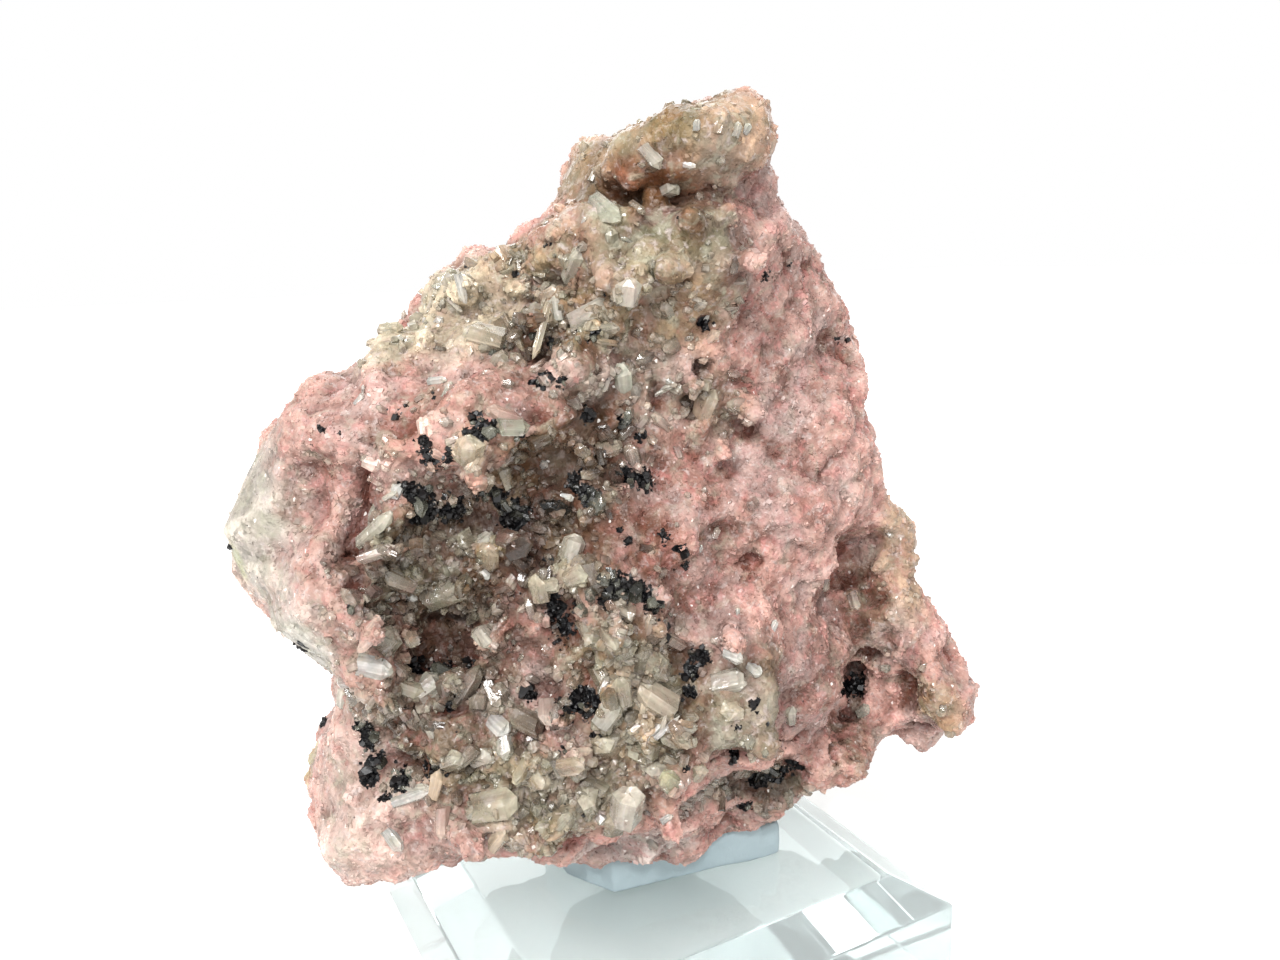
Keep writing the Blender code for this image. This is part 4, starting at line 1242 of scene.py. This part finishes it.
# across, down, length, width, angle, lean out, colour
PLACED_CRYSTALS = (
    (376, 528, 5.6, 1.5, 18, 0.15, CHALK), (372, 521, 4.6, 0.9, 22, 0.2, MILK),
    (378, 553, 3.2, 1.3, 14, 0.1, BLUSH_WHITE), (376, 668, 3.0, 2.0, -14, 0.2, ICE_AND_GLINT_WHITE),
    (431, 684, 2.6, 2.2, 40, 0.4, MILK), (502, 727, 2.4, 1.9, -60, 0.4, ICE_AND_GLINT_WHITE),
    (505, 748, 2.6, 1.6, -80, 0.2, STONE_GREY), (611, 711, 2.4, 2.2, 60, 0.6, MILK),
    (412, 797, 4.0, 1.1, 20, 0.15, ICE_AND_GLINT_WHITE), (418, 788, 3.4, 0.9, 12, 0.15, MILK),
    (395, 841, 2.4, 1.3, -52, 0.2, ICE_AND_GLINT_WHITE), (636, 750, 2.8, 2.6, 70, 0.8, HONEY),
    (656, 770, 2.4, 2.2, 100, 0.8, PEARL), (628, 804, 4.4, 3.0, 80, 0.2, WHITE_QUARTZ),
    (500, 806, 4.2, 3.4, 15, 0.3, HONEY), (590, 800, 3.4, 2.6, 160, 0.3, HONEY),
    (733, 710, 2.6, 3.1, 90, 3.0, CREAM), (731, 680, 3.2, 2.4, 10, 0.3, CHALK),
    (735, 657, 2.0, 1.3, 25, 0.3, ICE_AND_GLINT_WHITE), (755, 671, 1.6, 1.3, -30, 0.3, ICE_AND_GLINT_WHITE),
    (791, 714, 2.4, 1.3, 100, 0.2, CHALK), (657, 730, 3.0, 0.6, 48, 0.2, ICE_AND_GLINT_WHITE),
    (663, 728, 3.2, 0.6, 50, 0.2, MILK), (669, 727, 2.8, 0.6, 54, 0.2, ICE_AND_GLINT_WHITE),
    (688, 728, 2.4, 1.2, 60, 0.4, PEARL), (690, 742, 1.8, 1.6, 30, 0.6, HONEY),
    (606, 210, 4.6, 2.2, -62, 0.0, PALE_GREEN), (653, 158, 2.6, 1.3, -55, 0.3, PEARL),
    (670, 189, 2.6, 1.9, 82, 0.3, MILK), (690, 165, 1.2, 0.6, 8, 0.3, ICE_AND_GLINT_WHITE),
    (628, 290, 2.6, 2.1, 84, 0.3, CHALK), (574, 262, 3.6, 1.6, 42, 0.2, PEARL),
    (592, 312, 4.4, 2.1, 30, 0.25, PEARL), (556, 306, 2.2, 1.6, 78, 0.4, MILK),
    (540, 333, 5.2, 0.9, -38, 0.2, CREAM), (504, 338, 3.6, 1.2, -82, 0.2, KHAKI),
    (515, 335, 3.6, 0.9, -74, 0.2, TAN), (706, 400, 3.2, 2.6, 60, 0.3, APRICOT),
    (623, 378, 3.4, 2.2, 100, 0.2, PALE_GREEN), (665, 388, 2.6, 0.6, 45, 0.3, ICE_AND_GLINT_WHITE),
    (661, 391, 2.2, 0.5, 40, 0.3, MILK), (672, 383, 1.0, 0.6, -20, 0.3, ICE_AND_GLINT_WHITE),
    (470, 447, 2.8, 2.4, 80, 0.4, CREAM), (515, 427, 3.2, 1.6, 15, 0.2, PALE_GREEN),
    (462, 290, 2.8, 1.0, -76, 0.2, ICE_AND_GLINT_WHITE), (456, 305, 1.8, 0.8, -50, 0.2, MILK),
    (440, 321, 1.2, 1.1, 30, 0.8, ICE_AND_GLINT_WHITE), (425, 320, 0.7, 0.6, 60, 0.6, ICE_AND_GLINT_WHITE),
    (482, 335, 4.0, 2.8, 160, 0.3, CREAM), (398, 341, 1.6, 1.2, 70, 0.4, PEARL_WHITE),
    (361, 399, 1.4, 0.8, 60, 0.3, ICE_AND_GLINT_WHITE), (364, 389, 1.0, 0.4, 40, 0.3, ICE_AND_GLINT_WHITE),
    (439, 381, 1.8, 0.8, -8, 0.2, ICE_AND_GLINT_WHITE), (449, 389, 1.6, 0.7, 80, 0.3, MILK),
    (398, 489, 1.4, 1.2, 70, 0.4, ICE_AND_GLINT_WHITE), (391, 495, 1.4, 0.5, 30, 0.2, MILK),
    (568, 498, 1.2, 0.9, -10, 0.4, ICE_AND_GLINT_WHITE), (545, 464, 0.9, 0.8, 40, 0.6, ICE_AND_GLINT_WHITE),
    (483, 574, 1.8, 0.9, -50, 0.3, ICE_AND_GLINT_WHITE), (412, 597, 1.3, 1.1, 20, 0.4, ICE_AND_GLINT_WHITE),
    (520, 566, 0.7, 0.5, 90, 0.4, ICE_AND_GLINT_WHITE), (622, 614, 2.2, 1.3, -14, 0.3, ICE_AND_GLINT_WHITE),
    (568, 703, 0.9, 0.5, 5, 0.2, ICE_AND_GLINT_WHITE), (484, 757, 2.4, 1.8, 30, 0.4, PEARL),
    (485, 640, 2.2, 1.6, -52, 0.3, PEARL), (538, 585, 2.6, 1.9, 80, 0.4, CREAM),
    (553, 585, 1.6, 1.4, 20, 0.5, HONEY), (490, 552, 2.4, 2.2, 60, 0.7, BEIGE),
    (488, 537, 1.6, 1.4, 20, 0.6, STONE_GREY), (574, 546, 2.6, 2.2, 70, 0.4, PEARL),
    (580, 575, 2.4, 2.0, 30, 0.5, CREAM), (450, 590, 4.6, 3.4, 20, 0.1, GREY_CREAM),
    (395, 578, 3.4, 2.4, 150, 0.1, TAN), (385, 640, 2.8, 2.6, 60, 0.3, ASH),
    (610, 447, 3.0, 1.9, 20, 0.3, TAN), (632, 455, 2.6, 1.6, 110, 0.2, MAUVE),
    (655, 697, 4.2, 3.3, 165, 0.2, CREAM), (620, 690, 2.6, 2.2, 100, 0.3, HONEY),
    (700, 770, 1.8, 1.7, 70, 0.7, HONEY), (668, 780, 2.4, 2.0, 140, 0.5, LIME),
    (540, 780, 2.8, 2.2, 30, 0.4, BEIGE), (455, 760, 2.6, 1.8, 60, 0.3, GREY_CREAM),
    (605, 745, 3.4, 2.6, 100, 0.3, BEIGE), (575, 765, 2.6, 2.0, 30, 0.4, BEIGE),
    (410, 690, 3.6, 1.8, -20, 0.2, HONEY), (345, 695, 2.0, 1.6, 80, 0.3, MILK),
    (535, 720, 1.3, 1.2, 40, 0.5, PEARL), (455, 755, 1.2, 1.1, 40, 0.6, HONEY),
    (430, 730, 1.6, 0.9, 110, 0.4, PEARL), (403, 728, 1.3, 0.8, 60, 0.4, BLUSH_WHITE),
    (668, 818, 1.2, 0.7, 30, 0.4, ICE_AND_GLINT_WHITE), (488, 836, 0.7, 0.5, 20, 0.4, ICE_AND_GLINT_WHITE),
    (738, 612, 0.9, 0.4, 88, 0.3, ICE_AND_GLINT_WHITE), (774, 624, 1.1, 0.8, 70, 0.4, ICE_AND_GLINT_WHITE),
    (662, 312, 1.6, 1.0, 75, 0.4, PEARL), (700, 305, 2.2, 1.0, 78, 0.4, PEARL),
    (706, 318, 1.0, 0.5, 80, 0.4, ICE_AND_GLINT_WHITE), (735, 308, 1.0, 0.7, 60, 0.5, MILK),
    (585, 220, 0.9, 0.4, 20, 0.4, ICE_AND_GLINT_WHITE), (737, 128, 1.4, 1.0, 80, 0.4, MILK),
    (747, 128, 1.1, 0.8, 60, 0.4, ICE_AND_GLINT_WHITE), (697, 124, 0.9, 0.8, 80, 0.4, ICE_AND_GLINT_WHITE),
    (855, 603, 2.0, 1.4, -80, 0.3, BLUSH_WHITE), (825, 585, 1.8, 1.0, -70, 0.3, BLUSH_WHITE),
    (885, 668, 2.0, 1.2, 70, 0.3, STONE_GREY), (865, 710, 1.8, 1.4, 30, 0.4, STONE_GREY),
    (700, 548, 0.8, 0.5, 40, 0.4, ICE_AND_GLINT_WHITE), (716, 532, 1.2, 0.8, 60, 0.4, BLUSH_WHITE),
)
CRYSTAL_DEPTH = 0.8
CRYSTAL_QUARTZ = 0.7
MIDDLE = 0.5
UPRIGHT_SUNK = 0.3
NEARLY_UPRIGHT = 0.9
LYING_LIFT_MM = 0.15
LYING_SUNK = 0.08


def placed_crystals():
    """Join the crystals of the list in one piece.

    A crystal that lies along the stone has its middle where it shows, a little above the skin if it
    is thin and a little below if it is thick. One that stands upright is mostly sunk in the skin.
    """
    turns = []
    shifts = []
    tints = []
    for across, down, length, width, degrees, lean, colour in PLACED_CRYSTALS:
        spot, outward = place_under(across, down, skin_tree)
        angle = math.radians(degrees)
        along = math.cos(angle) * camera_right + math.sin(angle) * camera_up
        along = (along - along.dot(outward) * outward).normalized()
        axis = (along + lean * outward).normalized()
        upright = abs(axis.dot(outward))
        side = axis.cross(outward if upright < NEARLY_UPRIGHT else camera_up).normalized()
        third = axis.cross(side)
        turns.append(np.array((side * width, third * width * CRYSTAL_DEPTH, axis * length)).T)
        start = Vector(spot) / MM + outward * (LYING_LIFT_MM - LYING_SUNK * width) * (1.0 - upright)
        shifts.append(np.array(start - axis * length * (MIDDLE + UPRIGHT_SUNK * upright)))
        tints.append(np.array(linear(*colour))[:3] * TINT_GAIN)
    count = len(tints)
    return joined_copies("placed", unit_prism, np.array(turns), np.array(shifts), np.array(tints),
                         np.full(count, CRYSTAL_QUARTZ), np.zeros(count), PRISM_WOBBLE)


finished_piece("placed_crystals", placed_crystals(), bright_look)
print("placed crystals:", len(PLACED_CRYSTALS))

# %% [markdown]
# ## Dark crystals
#
# Sphalerite grows as small, blocky, bright-faced black crystals. Most of them fill the clusters, and
# a few strays sit among the quartz.

# %% Dark crystals
CLUSTER_SPREAD = 0.5
DARK_MM = 0.34
DARK_LEAN = 0.7
DARK_SUNK = 0.4
MOST_STRAYS = 220
TRIES_A_STRAY = 6
STRAY_CHANCE = 0.015
STRAY_CHANCE_IN_CROWDS = 0.3


def dark_material():
    """Black, bright-faced sphalerite."""
    made, place, shader = start_material("dark_sphalerite", IOR=1.5, Specular_IOR_Level=0.3)
    shade = mixed(place, grain(place, 0.7), linear(8, 8, 10), linear(30, 28, 28))
    connect(made.node_tree, shade, shader.inputs["Base Color"])
    connect(made.node_tree, 0.2 + 0.35 * grain(place, 0.9), shader.inputs["Roughness"])
    return made


def cluster_roots():
    """Roots in tight clusters, moved onto the skin."""
    wanted = []
    for across, down, reach, count in BLACK_CLUSTERS:
        spot, _ = place_under(across, down, skin_tree)
        around = CLUSTER_SPREAD * reach * chance.normal(size=(count, 3))
        wanted.append(np.array(spot) / MM + around)
    found = [skin_tree.find_nearest(Vector(point) * MM) for point in np.concatenate(wanted)]
    place = np.array([hit[0] for hit in found]) / MM
    outward = np.array([hit[1] for hit in found])
    # Black crystals take no colour from the skin, so any point of it will do as the nearest.
    return Roots(place, outward, np.zeros(len(place), dtype=np.int64))


def dark_piece(name, roots):
    """Join one dark crystal for each root into a piece."""
    size = grain_sizes(roots, DARK_MM, spread=0.45, least=0.2, most=1.2)
    length = size * (0.8 + 0.7 * roots.luck[:, 2])
    turns = turned_frames(roots.outward + DARK_LEAN * roots.lean, roots.spin, size, size, length)
    shifts = roots.place - turns[:, :, 2] * DARK_SUNK
    mesh = joined_copies(name, unit_dark, turns, shifts, roots.tint, roots.quartz, roots.ink)
    finished_piece(name, mesh, dark_look)
    print(name, len(size))


dark_look = dark_material()
dark_piece("black_clusters", cluster_roots())
roots = scattered_roots(MOST_STRAYS * TRIES_A_STRAY)
wanted = roots.luck[:, 1] < STRAY_CHANCE + STRAY_CHANCE_IN_CROWDS * roots.crowd
dark_piece("black_specks", roots.keep(wanted, MOST_STRAYS))

# %% [markdown]
# ## Putty
#
# Mineral putty is kneaded into a pad, set on the block and the stone is pressed onto it. The plain
# pad is remeshed, its sides are dented by noise, and its top is raised until it meets the stone.

# %% Putty
PUTTY_GRID_MM = 0.3
# size and depth of the wide dents and of the small marks
PUTTY_DENTS_MM = ((4.0, 0.35), (0.9, 0.07))
PUTTY_TOP_MM = 16.5
PUTTY_RISE_MM = 2.2
PUTTY_TOUCH_MM = 0.02

putty_mesh = even_skin(merged_copy("putty"), PUTTY_GRID_MM)
putty_points = read_vectors(putty_mesh, "co") / MM
putty_outward = read_vectors(putty_mesh, "normal")
dents = np.zeros(len(putty_points))
for wide, deep in PUTTY_DENTS_MM:
    dents += deep * np.array([noise.noise(Vector(point) / wide) for point in putty_points])
putty_points += putty_outward * np.array((1.0, 1.0, 0.0)) * dents[:, None]
for index in np.flatnonzero(putty_points[:, 2] > PUTTY_TOP_MM):
    start = Vector(putty_points[index]) * MM
    above, _, _, distance = stone_tree.ray_cast(start, Vector((0.0, 0.0, 1.0)))
    if above is not None and distance < PUTTY_RISE_MM * MM:
        putty_points[index, 2] = above.z / MM - PUTTY_TOUCH_MM
write_points(putty_mesh, putty_points * MM)


def putty_material():
    """Matt grey-blue putty with faint finger marks."""
    made, place, shader = start_material("grey_blue_putty", IOR=1.5, Specular_IOR_Level=0.3)
    blotches = grain(place, 5.0, detail=4.0)
    shade = mixed(place, blotches, linear(134, 149, 154), linear(152, 165, 169))
    connect(made.node_tree, shade, shader.inputs["Base Color"])
    connect(made.node_tree, 0.6 + 0.25 * blotches, shader.inputs["Roughness"])
    relief = grain(place, 1.6, detail=5.0) + 0.3 * grain(place, 0.3)
    connect(made.node_tree, bump(place, relief, 0.2, 0.6), shader.inputs["Normal"])
    return made


putty = finished_piece("putty_pad", putty_mesh, putty_material())
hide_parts("putty")
print("putty:", len(putty_mesh.polygons), "faces")

# %% [markdown]
# ## Acrylic block
#
# The block is cut from clear sheet, its top is bevelled on a saw and every face is flame or wheel
# polished. A cube is raised and drawn in at the top, then its edges are rounded in three steps, so
# that they catch the light as polished edges do. Most light goes straight through, with an index of
# 1.49 and a faint cyan that builds up with depth. Fine wear scatters the small rest.

# %% Acrylic block
BEVEL_ACROSS_MM = 4.8
BEVEL_DOWN_MM = 2.7
EDGE_MM = 0.25

base_low, base_high = (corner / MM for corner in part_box("acrylic_base"))


def block_mesh():
    """The bevelled block with rounded edges."""
    block = bmesh.new()
    bmesh.ops.create_cube(block, size=1.0)
    side = base_high.x - base_low.x
    height = base_high.z - base_low.z - BEVEL_DOWN_MM
    bmesh.ops.scale(block, vec=Vector((side, side, height)) * MM, verts=block.verts)
    bmesh.ops.translate(block, vec=(0.0, 0.0, height / 2 * MM), verts=block.verts)
    top = max(block.faces, key=lambda face: face.calc_center_median().z)
    raised = bmesh.ops.extrude_face_region(block, geom=[top])
    bmesh.ops.delete(block, geom=[top], context="FACES")
    crown = [item for item in raised["geom"] if isinstance(item, bmesh.types.BMVert)]
    bmesh.ops.translate(block, vec=(0.0, 0.0, BEVEL_DOWN_MM * MM), verts=crown)
    draw_in = (side - 2 * BEVEL_ACROSS_MM) / side
    bmesh.ops.scale(block, vec=(draw_in, draw_in, 1.0), verts=crown)
    bmesh.ops.bevel(block, geom=list(block.edges), offset=EDGE_MM * MM, segments=3, profile=0.5,
                    affect="EDGES", material=-1)
    bmesh.ops.recalc_face_normals(block, faces=block.faces)
    steady_order(block)
    mesh = bpy.data.meshes.new("acrylic_block")
    block.to_mesh(mesh)
    block.free()
    return mesh


def acrylic_material():
    """Clear acrylic with a faint cyan and the finest polishing marks."""
    made, place, shader = start_material("clear_acrylic", Transmission_Weight=0.88, IOR=1.49,
                                         Base_Color=(0.96, 1.0, 0.998, 1.0))
    connect(made.node_tree, 0.01 + 0.04 * grain(place, 3.0, detail=3.0), shader.inputs["Roughness"])
    waves = bump(place, grain(place, 9.0, detail=2.0), 0.05, 0.25)
    connect(made.node_tree, waves, shader.inputs["Normal"])
    absorb = made.node_tree.nodes.new("ShaderNodeVolumeAbsorption")
    absorb.inputs["Color"].default_value = (0.6, 0.875, 0.862, 1.0)
    absorb.inputs["Density"].default_value = 8.0
    output = made.node_tree.nodes["Material Output"]
    made.node_tree.links.new(absorb.outputs["Volume"], output.inputs["Volume"])
    return made


block = finished_piece("acrylic_block", block_mesh(), acrylic_material())
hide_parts("acrylic_base")
print("block:", len(block.data.polygons), "faces")

# %% [markdown]
# ## Floor and light
#
# A pale floor, a white sky and soft lamps stand in for a light tent. One window is high on the left,
# a wider one is behind, a weak one is low in front, and a small lamp gives the crystal faces their
# glints. The far floor glows, so that it ends in white without a horizon.

# %% Floor
FLOOR_MM = 6000.0
FLOOR_GAP_MM = 0.1
GLOW_STARTS = 0.1
GLOW_FULL = 0.4


def floor_mesh():
    """A flat sheet a hair under the block, so that the two surfaces don't share a plane."""
    sheet = bmesh.new()
    bmesh.ops.create_grid(sheet, x_segments=1, y_segments=1, size=FLOOR_MM / 2 * MM)
    bmesh.ops.translate(sheet, vec=(0.0, 0.0, -FLOOR_GAP_MM * MM), verts=sheet.verts)
    mesh = bpy.data.meshes.new("floor")
    sheet.to_mesh(mesh)
    sheet.free()
    return mesh


floor_look, floor_place, floor_shader = start_material(
    "pale_floor", Roughness=0.8, Specular_IOR_Level=0.1, Base_Color=(0.68, 0.68, 0.67, 1.0),
    Emission_Strength=0.6)
far = floor_place.node("ShaderNodeVectorMath", {"operation": "LENGTH"}, output=1, _0=floor_place)
glow = mixed(far, far.within(GLOW_STARTS, GLOW_FULL), linear(0, 0, 0), linear(255, 255, 255))
connect(floor_look.node_tree, glow, floor_shader.inputs["Emission Color"])
floor = bpy.data.objects.new("floor", floor_mesh())
floor.data.materials.append(floor_look)
bpy.context.scene.collection.objects.link(floor)
floor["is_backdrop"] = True
print("floor ready")

# %% Light
LAMP_AIM_MM = (0.0, 0.0, 50.0)
# name, place and size in mm, watts
LAMPS = (
    ("window", (-420.0, -260.0, 520.0), 240.0, 5.8),
    ("glint lamp", (-160.0, -330.0, 330.0), 30.0, 1.3),
    ("back window", (330.0, 450.0, 420.0), 900.0, 6.4),
    ("low window", (-220.0, -430.0, 70.0), 300.0, 0.8),
)


def soft_lamp(name, place_mm, size_mm, watts):
    """A square area lamp that looks at the middle of the part."""
    data = bpy.data.lights.new(name, "AREA")
    data.size = size_mm * MM
    data.energy = watts
    lamp = bpy.data.objects.new(name, data)
    lamp.location = Vector(place_mm) * MM
    aim = Vector(LAMP_AIM_MM) * MM - lamp.location
    lamp.rotation_mode = "QUATERNION"
    lamp.rotation_quaternion = aim.to_track_quat("-Z", "Y")
    bpy.context.scene.collection.objects.link(lamp)


for lamp_row in LAMPS:
    soft_lamp(*lamp_row)
sky = bpy.data.worlds.new("white sky")
sky.use_nodes = True
sky.node_tree.nodes["Background"].inputs["Color"].default_value = (1.0, 1.0, 1.0, 1.0)
sky.node_tree.nodes["Background"].inputs["Strength"].default_value = 1.0
bpy.context.scene.world = sky
bpy.context.scene.view_settings.view_transform = "Standard"
print("lamps and sky ready")

# %% [markdown]
# ## Sizes
#
# How far the box of the dressed part reaches past the box of the plain one is printed, to see
# that nothing grew.

# %% Sizes
dressed_low, dressed_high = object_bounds()
grown = (*(cad_low - dressed_low), *(dressed_high - cad_high))
print("grown by in mm:", [round(side / MM, 2) for side in grown])
